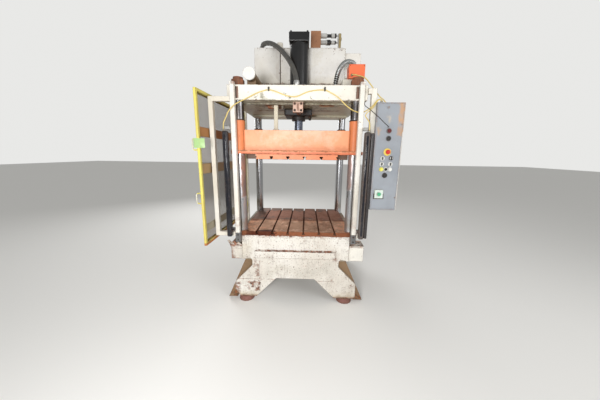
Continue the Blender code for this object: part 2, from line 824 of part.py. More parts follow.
# Stop bar on the ram, and the bracket under the crown that it meets at the top of the stroke
STOP_X = -0.192
STOP_Y = 0.075
STOP_WIDTH = 0.036
STOP_THICKNESS = 0.012
STOP_FOOT_WIDTH = 0.052
STOP_FOOT = 0.010
BRACKET_HALF = 0.075
BRACKET_X = -0.215
BRACKET_Y = 0.220
BRACKET_DEPTH = 0.040
BRACKET_HEIGHT = 0.022


def stop_bar(carrier):
    top = CROWN_UNDER - STROKE_UP - STOP_FOOT
    low = RAM_TOP + GAP
    bar = box(
        "ram_stop_bar",
        (STOP_X - STOP_WIDTH / 2, STOP_X + STOP_WIDTH / 2),
        (STOP_Y - STOP_THICKNESS / 2, STOP_Y + STOP_THICKNESS / 2),
        (low, top),
        WHITE,
    )
    foot = box(
        "stop_foot",
        (STOP_X - STOP_FOOT_WIDTH / 2, STOP_X + STOP_FOOT_WIDTH / 2),
        (STOP_Y - STOP_THICKNESS, STOP_Y + STOP_THICKNESS * 2),
        (low, low + STOP_FOOT),
    )
    join(bar, foot)
    bracket = box(
        "stop_bracket",
        (BRACKET_X - BRACKET_HALF, BRACKET_X + BRACKET_HALF),
        (BRACKET_Y, BRACKET_Y + BRACKET_DEPTH),
        (MID_PLATE_UNDER - BRACKET_HEIGHT, MID_PLATE_UNDER + WELD),
    )
    join(carrier, bracket)


# Reservoir: a sheet tank on four angle legs, with its filler breather and the box on its right side
TANK_HALF = 0.491
TANK_AFTER_MIDDLE = 0.117
TANK_INSET = 0.004
TANK_FRONT = MID_Y + TANK_AFTER_MIDDLE
TANK_BACK = PRESS_DEPTH - TANK_INSET
TANK_LOW = 2.250
TANK_HIGH = 2.608
TANK_WALL = 0.006
LEG_SIZE = 0.050
LEG_INSET = 0.045
FILLER_X = -0.228
FILLER_INSET = 0.150
FILLER_Y = TANK_FRONT + FILLER_INSET
FILLER_RADIUS = 0.034
FILLER_NECK = 0.022
FILLER_HEIGHT = 0.105
FILLER_FLANGE = 0.042
FILLER_FLANGE_THICKNESS = 0.010
SIDE_BOX_RIGHT = 0.667
SIDE_BOX_INSET = 0.050
SIDE_BOX_FRONT = TANK_FRONT + SIDE_BOX_INSET
SIDE_BOX_DEPTH = 0.200
SIDE_BOX_LOW = 2.330
SIDE_BOX_HIGH = 2.577


def reservoir():
    tank = box("reservoir", (-TANK_HALF, TANK_HALF), (TANK_FRONT, TANK_BACK), (TANK_LOW, TANK_HIGH), WHITE)
    for side in (-1, 1):
        for front in (TANK_FRONT, TANK_BACK - LEG_SIZE):
            outer = TANK_HALF - LEG_INSET
            edges = sorted((side * outer, side * (outer - LEG_SIZE)))
            leg = box("leg", edges, (front, front + LEG_SIZE), (CROWN_TOP + GAP, TANK_LOW + WELD))
            join(tank, leg)
    inside = box(
        "oil_space",
        (-TANK_HALF + TANK_WALL, TANK_HALF - TANK_WALL),
        (TANK_FRONT + TANK_WALL, TANK_BACK - TANK_WALL),
        (TANK_LOW + TANK_WALL, TANK_HIGH - TANK_WALL),
    )
    neck = cylinder(
        "filler_hole",
        FILLER_NECK,
        TANK_HIGH - TANK_WALL - OVERRUN,
        TANK_HIGH + OVERRUN,
        (FILLER_X, FILLER_Y),
        steps=SMALL_STEPS,
    )
    cut(tank, inside, neck)
    base = TANK_HIGH + GAP
    profile = [
        (0, base + FILLER_HEIGHT),
        (FILLER_RADIUS, base + FILLER_HEIGHT),
        (FILLER_RADIUS, base + FILLER_FLANGE_THICKNESS),
        (FILLER_FLANGE, base + FILLER_FLANGE_THICKNESS),
        (FILLER_FLANGE, base),
        (0, base),
    ]
    turned("filler_breather", profile, (FILLER_X, FILLER_Y, 0), WHITE, steps=SMALL_STEPS)
    box(
        "side_box",
        (TANK_HALF + GAP, SIDE_BOX_RIGHT),
        (SIDE_BOX_FRONT, SIDE_BOX_FRONT + SIDE_BOX_DEPTH),
        (SIDE_BOX_LOW, SIDE_BOX_HIGH),
        WHITE,
    )
    return tank


# Valve manifold on the tank, with its two cartridges, their end valve and the fitting between
MANIFOLD_LEFT = 0.116
MANIFOLD_RIGHT = 0.224
MANIFOLD_INSET = 0.032
MANIFOLD_FRONT = TANK_FRONT + MANIFOLD_INSET
MANIFOLD_DEPTH = 0.120
MANIFOLD_HIGH = 2.788
VALVE_END = 0.446
VALVE_Y = MANIFOLD_FRONT + MANIFOLD_DEPTH / 3
UPPER_VALVE_Z = 2.755
LOWER_VALVE_Z = 2.690
UPPER_VALVE_SHARES = [(0.30, 0.9), (0.55, 0.62), (0.80, 0.85)]
LOWER_VALVE_SHARES = [(0.28, 0.8), (0.50, 1.0), (0.78, 0.7)]
VALVE_RADIUS = 0.026
RISER_RADIUS = 0.018
RISER_NUT_RADIUS = 0.025
RISER_NUT_HEIGHT = 0.022


def manifold():
    base = TANK_HIGH + GAP
    block = box(
        "valve_manifold",
        (MANIFOLD_LEFT, MANIFOLD_RIGHT),
        (MANIFOLD_FRONT, MANIFOLD_FRONT + MANIFOLD_DEPTH),
        (base, MANIFOLD_HIGH),
        BROWN,
    )
    soften(block, GLAND_BEVEL / 4)
    start = MANIFOLD_RIGHT + GAP
    reach = VALVE_END - RISER_RADIUS - start
    riser = cylinder(
        "valve_cluster",
        RISER_RADIUS,
        base,
        UPPER_VALVE_Z + RISER_RADIUS,
        (VALVE_END - RISER_RADIUS, VALVE_Y),
        GREY_STEEL,
        steps=SMALL_STEPS,
    )
    for height in (base + WELD, UPPER_VALVE_Z - RISER_NUT_HEIGHT * 2):
        nut = cylinder(
            "riser_nut",
            RISER_NUT_RADIUS,
            height,
            height + RISER_NUT_HEIGHT,
            (VALVE_END - RISER_RADIUS, VALVE_Y),
            steps=NUT_SIDES,
        )
        join(riser, nut)
    for height, shares in ((UPPER_VALVE_Z, UPPER_VALVE_SHARES), (LOWER_VALVE_Z, LOWER_VALVE_SHARES)):
        low = start
        for end_share, radius_share in shares:
            high = start + reach * end_share
            stage = cylinder(
                "valve_stage",
                VALVE_RADIUS * radius_share,
                low,
                high + WELD,
                (VALVE_Y, height),
                axis="X",
                steps=SMALL_STEPS,
            )
            join(riser, stage)
            low = high
        link = cylinder(
            "valve_link",
            RISER_RADIUS / 2,
            low,
            start + reach + RISER_RADIUS / 2,
            (VALVE_Y, height),
            axis="X",
            steps=SMALL_STEPS,
        )
        join(riser, link)


# Main hose: from the elbow on the tank over its front edge to the fitting on the crown
HOSE_RADIUS = 0.025
HOSE_SPACING = 0.045
FITTING_RADIUS = 0.027
FITTING_FLANGE = 0.038
FITTING_FLANGE_THICKNESS = 0.016
HOSE_STEPS = [
    (-0.018, -0.148, 2.130),
    (-0.018, -0.148, 2.172),
    (-0.022, -0.148, 2.222),
    (-0.032, -0.143, 2.271),
    (-0.053, -0.128, 2.330),
    (-0.088, -0.099, 2.397),
    (-0.137, -0.033, 2.478),
    (-0.192, 0.017, 2.548),
    (-0.248, 0.067, 2.606),
    (-0.304, 0.117, 2.648),
    (-0.362, 0.172, 2.678),
    (-0.416, 0.240, 2.690),
    (-0.440, 0.297, 2.680),
    (-0.444, 0.317, 2.660),
    (-0.444, 0.317, 2.638),
]
HOSE_ROUTE = [(across, MID_Y + back, height) for across, back, height in HOSE_STEPS]


def fitting(carrier, place, face):
    # A flanged hose fitting on a carrier's upper face, that ends under the hose.
    top = place[2] - GAP
    base = face - WELD
    profile = [
        (0, top),
        (FITTING_RADIUS, top),
        (FITTING_RADIUS, base + FITTING_FLANGE_THICKNESS),
        (FITTING_FLANGE, base + FITTING_FLANGE_THICKNESS),
        (FITTING_FLANGE, base),
        (0, base),
    ]
    join(carrier, turned("fitting", profile, (place[0], place[1], 0), None, steps=SMALL_STEPS))


def main_hose(low_carrier, high_carrier):
    tube("main_hose", routed(HOSE_ROUTE, HOSE_SPACING), HOSE_RADIUS, RUBBER)
    fitting(low_carrier, HOSE_ROUTE[0], CROWN_TOP)
    fitting(high_carrier, HOSE_ROUTE[-1], TANK_HIGH)


# Oil cooler: a round shell on two saddles, with its end flange towards the front
COOLER_X = -0.422
COOLER_Z = 2.184
COOLER_RADIUS = 0.047
COOLER_FLANGE = 0.055
COOLER_FLANGE_THICKNESS = 0.018
COOLER_FRONT = 0.034
COOLER_REAR_CLEAR = 0.046
COOLER_LENGTH = TANK_FRONT - COOLER_FRONT - COOLER_REAR_CLEAR
SADDLE_HALF = 0.040
SADDLE_THICKNESS = 0.012
SADDLE_SHARES = (0.18, 0.82)


def oil_cooler():
    back = COOLER_FRONT + COOLER_LENGTH
    shell = cylinder(
        "oil_cooler", COOLER_RADIUS, COOLER_FRONT, back, (COOLER_X, COOLER_Z), WHITE, axis="Y"
    )
    for low in (COOLER_FRONT - GAP, back - COOLER_FLANGE_THICKNESS + GAP):
        flange = cylinder(
            "cooler_flange", COOLER_FLANGE, low, low + COOLER_FLANGE_THICKNESS, (COOLER_X, COOLER_Z), axis="Y"
        )
        join(shell, flange)
    for share in SADDLE_SHARES:
        middle = COOLER_FRONT + COOLER_LENGTH * share
        saddle = box(
            "saddle",
            (COOLER_X - SADDLE_HALF, COOLER_X + SADDLE_HALF),
            (middle, middle + SADDLE_THICKNESS),
            (CROWN_TOP + GAP, COOLER_Z),
        )
        join(shell, saddle)


# Junction box on its switch block, and the ribbed conduit to the side box
SWITCH_LEFT = 0.406
SWITCH_RIGHT = 0.508
SWITCH_FRONT = 0.125
SWITCH_DEPTH = 0.090
SWITCH_HIGH = 2.166
JUNCTION_LEFT = 0.456
JUNCTION_RIGHT = 0.598
JUNCTION_FRONT = 0.100
JUNCTION_DEPTH = 0.120
JUNCTION_HEIGHT = 0.116
CONDUIT_RADIUS = 0.024
CONDUIT_SPACING = 0.040
CONDUIT_FOOT = (0.360, 0.262, 2.135)
CONDUIT_TURN = 0.080
CONDUIT_RUN = 0.035
CONDUIT_ROUTE = [
    CONDUIT_FOOT,
    (0.360, 0.262, 2.170),
    (0.372, 0.275, 2.232),
    (0.390, 0.310, 2.290),
    (0.420, 0.360, 2.350),
    (0.460, 0.425, 2.404),
    (0.508, 0.495, 2.440),
    (0.560, SIDE_BOX_FRONT - CONDUIT_TURN, 2.458),
    (0.585, SIDE_BOX_FRONT - CONDUIT_RUN, 2.460),
    (0.585, SIDE_BOX_FRONT - GAP, 2.460),
]


def junction(carrier):
    switch = box(
        "switch_block",
        (SWITCH_LEFT, SWITCH_RIGHT),
        (SWITCH_FRONT, SWITCH_FRONT + SWITCH_DEPTH),
        (CROWN_TOP + GAP, SWITCH_HIGH),
        WHITE,
    )
    soften(switch, CAP_BEVEL / 2)
    base = SWITCH_HIGH + GAP
    body = box(
        "junction_box",
        (JUNCTION_LEFT, JUNCTION_RIGHT),
        (JUNCTION_FRONT, JUNCTION_FRONT + JUNCTION_DEPTH),
        (base, base + JUNCTION_HEIGHT),
        ORANGE,
    )
    soften(body, CAP_BEVEL / 2)
    tube("ribbed_conduit", routed(CONDUIT_ROUTE, CONDUIT_SPACING), CONDUIT_RADIUS, RUBBER)
    fitting(carrier, CONDUIT_FOOT, CROWN_TOP)


# Guard posts on their shoes, and the frame of square tube outside each of them
TUBE = 0.040
POST_X = 0.557
POST_TOP = 2.100
SHOE_OUTER = 0.022
SHOE_BACK = 0.014
SHOE_LOW = 0.653
SHOE_HIGH = 0.746
LEFT_FRAME_X = -0.7485
LEFT_FRAME_LOW = 0.715
LEFT_FRAME_HIGH = 1.980
RIGHT_TUBE = 0.044
RIGHT_FRAME_X = 0.6625
RIGHT_FRAME_Y = 0.000
RIGHT_FRAME_LOW = 0.705
RIGHT_FRAME_HIGH = 2.055


def guard_posts():
    for name, side in (("left", -1), ("right", 1)):
        x = side * POST_X
        post = box(
            "guard_post_" + name,
            (x - TUBE / 2, x + TUBE / 2),
            (-TUBE - GAP, -GAP),
            (SHOE_HIGH - TUBE, POST_TOP),
            WHITE,
        )
        shoe = box(
            "shoe",
            sorted((side * (PRESS_HALF + GAP), x + side * SHOE_OUTER)),
            (-TUBE - GAP - WELD / 2, SHOE_BACK),
            (SHOE_LOW, SHOE_HIGH),
        )
        join(post, shoe)


def side_frames():
    left = LEFT_FRAME_X
    inner = -POST_X - TUBE / 2 - GAP
    frame = box(
        "side_frame_left",
        (left - TUBE / 2, left + TUBE / 2),
        (-TUBE - GAP, -GAP),
        (LEFT_FRAME_LOW, LEFT_FRAME_HIGH),
        WHITE,
    )
    shy = WELD / 8
    for low in (LEFT_FRAME_LOW + shy, LEFT_FRAME_HIGH - TUBE - shy):
        end = -POST_X - SHOE_OUTER - GAP if low < SHOE_HIGH else inner
        rail = box("rail", (left, end), (-TUBE - GAP + shy, -GAP - shy), (low, low + TUBE))
        join(frame, rail)
    right = RIGHT_FRAME_X
    half = RIGHT_TUBE / 2
    frame = box(
        "side_frame_right",
        (right - half, right + half),
        (RIGHT_FRAME_Y - half, RIGHT_FRAME_Y + half),
        (RIGHT_FRAME_LOW, RIGHT_FRAME_HIGH),
        WHITE,
    )
    depth = (RIGHT_FRAME_Y - half + shy, RIGHT_FRAME_Y + half - shy)
    top = RIGHT_FRAME_HIGH - RIGHT_TUBE - shy
    join(frame, box("rail", (CROWN_HALF + GAP, right), depth, (top, top + RIGHT_TUBE)))
    low = RIGHT_FRAME_LOW + shy
    shoe_side = POST_X + SHOE_OUTER + GAP
    join(frame, box("rail", (shoe_side, right), depth, (low, low + RIGHT_TUBE)))


# Light curtains: a narrow housing at each side of the front, held by two clamps
CURTAIN_LEFT_X = -0.621
CURTAIN_RIGHT_X = 0.6145
CURTAIN_Y = -0.067
CURTAIN_WIDTH = 0.046
CURTAIN_DEPTH = 0.050
CURTAIN_LOW = 0.722
CURTAIN_HIGH = 1.690
CURTAIN_CHAMFER = 0.008
BRACKET_RISE = 0.012
BRACKET_TALL = 0.026
BRACKET_STUD = 0.007
PIPE_RADIUS = 0.016
PIPE_X = 0.656
PIPE_LINK_SHARES = (0.08, 0.95)
PIPE_LINK = 0.020


def curtain(name, side, x):
    # A housing with a bracket at each end that reaches to the guard post on its side.
    body = box(
        name,
        (x - CURTAIN_WIDTH / 2, x + CURTAIN_WIDTH / 2),
        (CURTAIN_Y - CURTAIN_DEPTH / 2, CURTAIN_Y + CURTAIN_DEPTH / 2),
        (CURTAIN_LOW, CURTAIN_HIGH),
        BLACK,
    )
    soften(body, CURTAIN_CHAMFER, 1)
    post = side * (POST_X + TUBE / 2 + GAP)
    back = CURTAIN_Y + CURTAIN_DEPTH / 2 + BRACKET_TALL / 2
    low = CURTAIN_HIGH + BRACKET_RISE
    arm = box("arm", sorted((post, x)), (CURTAIN_Y - BRACKET_TALL / 2, back), (low, low + BRACKET_TALL))
    stud = cylinder(
        "stud", BRACKET_STUD, CURTAIN_HIGH - WELD, low + WELD, (x, CURTAIN_Y), steps=SMALL_STEPS
    )
    foot_low = CURTAIN_LOW + BRACKET_TALL * 2
    foot = box("foot", sorted((post, x)), (CURTAIN_Y, back), (foot_low, foot_low + BRACKET_TALL))
    join(body, arm, stud, foot)
    return body


def light_curtains():
    curtain("light_curtain_left", -1, CURTAIN_LEFT_X)
    right = curtain("light_curtain_right", 1, CURTAIN_RIGHT_X)
    length = CURTAIN_HIGH - CURTAIN_LOW
    pipe = cylinder(
        "pipe",
        PIPE_RADIUS,
        CURTAIN_LOW + PIPE_RADIUS / 2,
        CURTAIN_HIGH - PIPE_RADIUS / 2,
        (PIPE_X, CURTAIN_Y),
        steps=SMALL_STEPS,
    )
    join(right, pipe)
    for share in PIPE_LINK_SHARES:
        middle = CURTAIN_LOW + length * share
        link = box(
            "link",
            (CURTAIN_RIGHT_X, PIPE_X),
            (CURTAIN_Y - PIPE_RADIUS / 2, CURTAIN_Y + PIPE_RADIUS / 2),
            (middle - PIPE_LINK / 2, middle + PIPE_LINK / 2),
        )
        join(right, link)


# Guard door: hinged at the rear left corner, with a mesh skin on the outside of its frame
STRAPS = ((0.798, 0.868), (1.322, 1.408), (1.634, 1.712))
STRAP_THICKNESS = 0.005
MESH_THICKNESS = 0.003
MESH_COLUMNS = 8
MESH_ROWS = 13
MESH_BAR = 0.016
MESH_LAP = 0.004
HANDLE_TALL = 0.090
HANDLE_HEIGHTS = (1.066, 1.522)
HANDLE_STEPS = 5
HANDLE_BEND = 0.018
HINGE_RADIUS = 0.011
HINGE_SET_BACK = 0.016
HINGE_LOW_SHARE = 0.10
HINGE_HIGH_SHARE = 0.90
KNUCKLE_HEIGHT = 0.070
HINGE_POST = 0.040
HINGE_POST_SET_BACK = 0.045
ARM_HEIGHT = 0.040


def on_door(made):
    # Door pieces are drawn about the hinge axis with the door running towards the front.
    made.location = (
        DOOR_HINGE_X + made.location.x * math.cos(DOOR_TURN) - made.location.y * math.sin(DOOR_TURN),
        DOOR_HINGE_Y + made.location.x * math.sin(DOOR_TURN) + made.location.y * math.cos(DOOR_TURN),
        made.location.z,
    )
    made.rotation_euler.z += DOOR_TURN
    return made


def at_hinge(made):
    # The mesh is moved so that the object's own origin lies on the hinge axis.
    made.data.transform(made.matrix_basis)
    made.matrix_basis.identity()
    made.location = (0, 0, 0)
    made.rotation_euler = (0, 0, 0)
    return on_door(made)


def guard_door():
    half = DOOR_DEPTH / 2
    end = -HINGE_SET_BACK
    frame = box("door_frame", (-half, half), (-DOOR_LENGTH, end), (DOOR_BOTTOM, DOOR_TOP), YELLOW)
    frame = at_hinge(frame)
    opening = box(
        "door_opening",
        (-half - OVERRUN, half + OVERRUN),
        (-DOOR_LENGTH + DOOR_BAR, end - DOOR_BAR),
        (DOOR_BOTTOM + DOOR_BAR, DOOR_TOP - DOOR_BAR),
    )
    cut(frame, on_door(opening))
    for low, high in STRAPS:
        strap = box(
            "strap",
            (-STRAP_THICKNESS, STRAP_THICKNESS),
            (-DOOR_LENGTH + DOOR_BAR / 2, end - DOOR_BAR / 2),
            (low, high),
        )
        join(frame, on_door(strap))
    for low in HANDLE_HEIGHTS:
        high = low + HANDLE_TALL
        reach = half + HANDLE_REACH - HANDLE_RADIUS
        middle = -DOOR_LENGTH + DOOR_BAR / 2
        upper = arc((-reach + HANDLE_BEND, high - HANDLE_BEND), HANDLE_BEND, 90, 180, HANDLE_STEPS)
        lower = arc((-reach + HANDLE_BEND, low + HANDLE_BEND), HANDLE_BEND, 180, 270, HANDLE_STEPS)
        points = [(-half / 2, middle, high)]
        points += [(x, middle, z) for x, z in upper + lower]
        points += [(-half / 2, middle, low)]
        handle = solid(tube("handle", points, HANDLE_RADIUS, None), None)
        join(frame, on_door(handle))
    for share in (HINGE_LOW_SHARE, HINGE_HIGH_SHARE):
        middle = DOOR_BOTTOM + (DOOR_TOP - DOOR_BOTTOM) * share
        knuckle = cylinder(
            "knuckle",
            HINGE_RADIUS,
            middle - KNUCKLE_HEIGHT / 2,
            middle + KNUCKLE_HEIGHT / 2,
            (0, 0),
            steps=SMALL_STEPS,
        )
        leaf = box(
            "leaf",
            (-HINGE_RADIUS / 2, HINGE_RADIUS / 2),
            (end - DOOR_BAR / 2, 0),
            (middle - KNUCKLE_HEIGHT / 2 + WELD, middle + KNUCKLE_HEIGHT / 2 - WELD),
        )
        join(frame, on_door(knuckle), on_door(leaf))
    skin_x = -half - GAP
    mesh = box(
        "door_mesh",
        (skin_x - MESH_THICKNESS, skin_x),
        (-DOOR_LENGTH + DOOR_BAR - MESH_LAP, -HINGE_SET_BACK - DOOR_BAR + MESH_LAP),
        (DOOR_BOTTOM + DOOR_BAR - MESH_LAP, DOOR_TOP - DOOR_BAR + MESH_LAP),
        MESH_BROWN,
    )
    mesh = at_hinge(mesh)
    inner_length = DOOR_LENGTH - HINGE_SET_BACK - DOOR_BAR * 2
    inner_height = DOOR_TOP - DOOR_BOTTOM - DOOR_BAR * 2
    step_y = inner_length / MESH_COLUMNS
    step_z = inner_height / MESH_ROWS
    gaps = []
    for row in range(MESH_ROWS):
        for column in range(MESH_COLUMNS):
            y = -DOOR_LENGTH + DOOR_BAR + step_y * (column + 1 / 2)
            z = DOOR_BOTTOM + DOOR_BAR + step_z * (row + 1 / 2)
            shape = bmesh.new()
            bmesh.ops.create_cone(shape, cap_ends=True, segments=4, radius1=1, radius2=1, depth=1)
            wide = (step_y - MESH_BAR) / 2
            tall = (step_z - MESH_BAR) / 2
            bmesh.ops.scale(shape, vec=(wide, tall, MESH_THICKNESS + OVERRUN), verts=shape.verts)
            gap = add("mesh_gap", mesh_of("mesh_gap", shape), None, (skin_x, y, z))
            gap.rotation_euler = (math.radians(90), 0, math.radians(90))
            gaps.append(gap)
    gaps = merged("mesh_gaps", gaps)
    cut(mesh, on_door(gaps))


def hinge_post():
    # A square post behind the door with two arms to the press and two pins' blocks.
    x = DOOR_HINGE_X
    y = DOOR_HINGE_Y + HINGE_POST_SET_BACK
    post = box(
        "door_post",
        (x - HINGE_POST / 2, x + HINGE_POST / 2),
        (y - HINGE_POST / 2, y + HINGE_POST / 2),
        (WING_HIGH - ARM_HEIGHT * 2, CROWN_TOP),
        WHITE,
    )
    depth = (y - HINGE_POST / 2 + WELD, y + HINGE_POST / 2 - WELD)
    upper = (CROWN_TOP - ARM_HEIGHT - WELD, CROWN_TOP - WELD)
    join(post, box("arm", (x, -CROWN_HALF - GAP), (REAR_COLUMN_Y, depth[1]), upper))
    lower = (WING_HIGH - ARM_HEIGHT * 2 + WELD, WING_HIGH - ARM_HEIGHT + WELD)
    join(post, box("arm", (x, -WING_LEFT - GAP), (REAR_COLUMN_Y - WELD, depth[1]), lower))
    for share in (HINGE_LOW_SHARE, HINGE_HIGH_SHARE):
        middle = DOOR_BOTTOM + (DOOR_TOP - DOOR_BOTTOM) * share
        for low in (middle - KNUCKLE_HEIGHT, middle + KNUCKLE_HEIGHT / 2 + GAP):
            high = low + KNUCKLE_HEIGHT / 2 - GAP
            pin = cylinder("hinge_ear", HINGE_RADIUS, low, high, (x, DOOR_HINGE_Y), steps=SMALL_STEPS)
            web = box(
                "hinge_web",
                (x - HINGE_RADIUS / 2, x + HINGE_RADIUS / 2),
                (DOOR_HINGE_Y, y - HINGE_POST / 2 + WELD),
                (low + GAP, high - GAP),
            )
            join(post, pin, web)


# Console: a flat box on the right frame, with raised rings round the controls
BEZEL_PROUD = 0.005
WELL_DEPTH = 0.016
CONTROL_CLEAR = 0.0005
PUSH_TRAVEL = 0.004
PUSH_PROUD = 0.008
CONTROLS = {
    "push_dark_red": ("push", 0.802, 1.706, 0.0165, RED),
    "push_black_upper": ("push", 0.803, 1.642, 0.0165, BLACK),
    "emergency_stop": ("stop", 0.801, 1.527, 0.0130, RED),
    "selector_upper_left": ("turn", 0.764, 1.471, 0.0125, BLACK),
    "selector_upper_right": ("turn", 0.840, 1.474, 0.0125, BLACK),
    "selector_lower_left": ("turn", 0.761, 1.422, 0.0125, BLACK),
    "selector_lower_right": ("turn", 0.837, 1.421, 0.0125, BLACK),
    "push_yellow": ("push", 0.762, 1.376, 0.0125, BUTTON_YELLOW),
    "push_black": ("push", 0.800, 1.376, 0.0125, BLACK),
    "push_white": ("push", 0.837, 1.376, 0.0125, BUTTON_WHITE),
    "selector_round": ("turn", 0.796, 1.322, 0.0170, BLACK),
    "start_green": ("start", 0.755, 1.152, 0.0160, GREEN),
}
BEZEL_WIDTH = 0.0045
START_PLATE_HALF = 0.038
START_PLATE_PROUD = 0.012
STOP_HEAD_RADIUS = 0.021
STOP_HEAD_SHARES = [(0, 1), (0.55, 0.94), (0.92, 0.72), (1, 0.45), (0.9, 0.38)]
STOP_HEAD_HEIGHT = 0.026
STOP_BEZEL_WIDTH = 0.016
KNOB_PROUD = 0.014
KNOB_BAR_SHARE = 0.30
KNOB_LENGTH_SHARE = 0.90
KNOB_COLLAR = 0.004


def console():
    body = box(
        "console",
        (CONSOLE_LEFT, CONSOLE_RIGHT),
        (CONSOLE_FRONT, CONSOLE_FRONT + CONSOLE_DEPTH),
        (CONSOLE_BOTTOM, CONSOLE_TOP),
        BLUE_GREY,
    )
    kind, x, z, radius, finish = CONTROLS["start_green"]
    plate = box(
        "start_plate",
        (x - START_PLATE_HALF, x + START_PLATE_HALF),
        (CONSOLE_FRONT - START_PLATE_PROUD, CONSOLE_FRONT + WELD),
        (z - START_PLATE_HALF, z + START_PLATE_HALF),
    )
    join(body, plate)
    wells = []
    rings = []
    for name, (kind, x, z, radius, finish) in CONTROLS.items():
        front = control_front(kind)
        width = STOP_BEZEL_WIDTH if kind == "stop" else BEZEL_WIDTH
        ring = cylinder(
            "bezel",
            radius + CONTROL_CLEAR + width,
            front,
            CONSOLE_FRONT + WELD,
            (x, z),
            axis="Y",
            steps=SMALL_STEPS,
        )
        rings.append(ring)
        wells.append(
            cylinder(
                "well",
                radius + CONTROL_CLEAR,
                front - OVERRUN,
                front + WELL_DEPTH,
                (x, z),
                axis="Y",
                steps=SMALL_STEPS,
            )
        )
    join(body, merged("bezels", rings))
    cut(body, merged("wells", wells))


def control_front(kind):
    # The Y of a control's ring.
    if kind == "start":
        return CONSOLE_FRONT - START_PLATE_PROUD - BEZEL_PROUD
    return CONSOLE_FRONT - BEZEL_PROUD


def controls():
    for name, (kind, x, z, radius, finish) in CONTROLS.items():
        front = control_front(kind)
        back = front + WELL_DEPTH - PUSH_TRAVEL - GAP * 4
        if kind in ("push", "start"):
            cylinder(name, radius, front - PUSH_PROUD, back, (x, z), finish, axis="Y", steps=SMALL_STEPS)
        elif kind == "stop":
            head_base = front - PUSH_TRAVEL * 2
            profile = [
                (STOP_HEAD_RADIUS * radius_share, STOP_HEAD_HEIGHT * height_share)
                for radius_share, height_share in STOP_HEAD_SHARES
            ]
            stem = back - head_base
            profile = profile + [(radius, STOP_HEAD_HEIGHT / 3), (radius, -stem), (0, -stem)]
            head = turned(name, profile, (x, head_base, z), finish, steps=SMALL_STEPS)
            head.rotation_euler = (math.radians(90), 0, 0)
        else:
            knob = cylinder(
                name, radius, front - KNOB_COLLAR, back, (x, z), finish, axis="Y", steps=SMALL_STEPS
            )
            bar = box(
                "knob_bar",
                (x - radius * KNOB_BAR_SHARE, x + radius * KNOB_BAR_SHARE),
                (front - KNOB_PROUD, front - KNOB_COLLAR / 2),
                (z - radius * KNOB_LENGTH_SHARE, z + radius * KNOB_LENGTH_SHARE),
            )
            join(knob, bar)


# Cables: each runs on the press the whole way, and ends against the housing that it enters
CABLE_RADIUS = 0.0045
THIN_RADIUS = 0.003
CABLE_SPACING = 0.030
CABLE_FRONT = -CABLE_RADIUS - GAP
CABLE_CONSOLE_Y = -0.008
JUNCTION_CABLE_Y = 0.032
RIGHT_CABLE_Y = -0.034
CURTAIN_CABLE_ROUTE = [
    (-0.634, CURTAIN_Y, CURTAIN_HIGH + GAP),
    (-0.634, CURTAIN_Y, 1.735),
    (-0.630, -0.067, 1.760),
    (-0.612, -0.064, 1.797),
    (-0.590, -0.062, 1.846),
    (-0.563, -0.060, 1.880),
    (-0.524, -0.054, 1.914),
    (-0.446, -0.030, 1.959),
    (-0.352, -0.008, 2.011),
    (-0.301, CABLE_FRONT, 2.029),
    (-0.244, CABLE_FRONT, 2.041),
    (-0.188, CABLE_FRONT, 2.029),
    (-0.102, CABLE_FRONT, 1.998),
    (-0.041, CABLE_FRONT, 1.986),
    (0.011, CABLE_FRONT, 1.991),
    (0.079, CABLE_FRONT, 2.021),
    (0.156, CABLE_FRONT, 2.038),
    (0.241, CABLE_FRONT, 2.041),
    (0.285, CABLE_FRONT, 2.024),
    (0.355, -0.009, 1.984),
    (0.416, -0.012, 1.927),
    (0.470, -0.002, 1.890),
    (0.520, 0.0075, 1.869),
    (0.557, 0.009, 1.865),
    (0.583, 0.008, 1.866),
    (0.603, -0.008, 1.874),
    (0.622, -0.024, 1.887),
    (0.650, -0.030, 1.909),
    (0.669, -0.030, 1.934),
    (0.686, -0.028, 1.957),
    (0.708, -0.020, 1.968),
    (0.732, -0.010, 1.964),
    (0.740, CABLE_CONSOLE_Y, 1.952),
    (0.740, CABLE_CONSOLE_Y, CONSOLE_TOP + GAP),
]
JUNCTION_CABLE_ROUTE = [
    (0.484, JUNCTION_FRONT - GAP, 2.192),
    (0.484, 0.086, 2.192),
    (0.498, 0.070, 2.187),
    (0.529, 0.056, 2.176),
    (0.586, 0.044, 2.155),
    (0.630, 0.038, 2.109),
    (0.693, 0.036, 2.034),
    (0.741, 0.034, 1.985),
    (0.768, 0.033, 1.972),
    (0.776, JUNCTION_CABLE_Y, 1.955),
    (0.776, JUNCTION_CABLE_Y, CONSOLE_TOP + GAP),
]
RIGHT_CABLE_ROUTE = [
    (0.629, CURTAIN_Y, CURTAIN_HIGH + GAP),
    (0.629, CURTAIN_Y, 1.740),
    (0.627, -0.054, 1.775),
    (0.608, -0.020, 1.815),
    (0.598, -0.008, 1.840),
    (0.612, -0.024, 1.860),
    (0.645, -0.034, 1.888),
    (0.668, -0.041, 1.918),
    (0.684, -0.044, 1.948),
    (0.700, -0.042, 1.963),
    (0.716, -0.036, 1.962),
    (0.722, RIGHT_CABLE_Y, 1.951),
    (0.722, RIGHT_CABLE_Y, CONSOLE_TOP + GAP),
]
THIN_CABLE_ROUTE = [
    (0.600, 0.055, CROWN_UNDER - GAP),
    (0.600, 0.055, 1.945),
    (0.600, 0.030, 1.926),
    (0.600, -0.005, 1.910),
    (0.603, -0.024, 1.903),
    (0.614, -0.039, 1.892),
    (0.640, -0.048, 1.868),
    (0.700, -0.074, 1.812),
    (0.760, -0.090, 1.752),
    (0.786, -0.084, 1.738),
    (0.790, -0.070, 1.736),
    (0.790, CONSOLE_FRONT - GAP, 1.736),
]


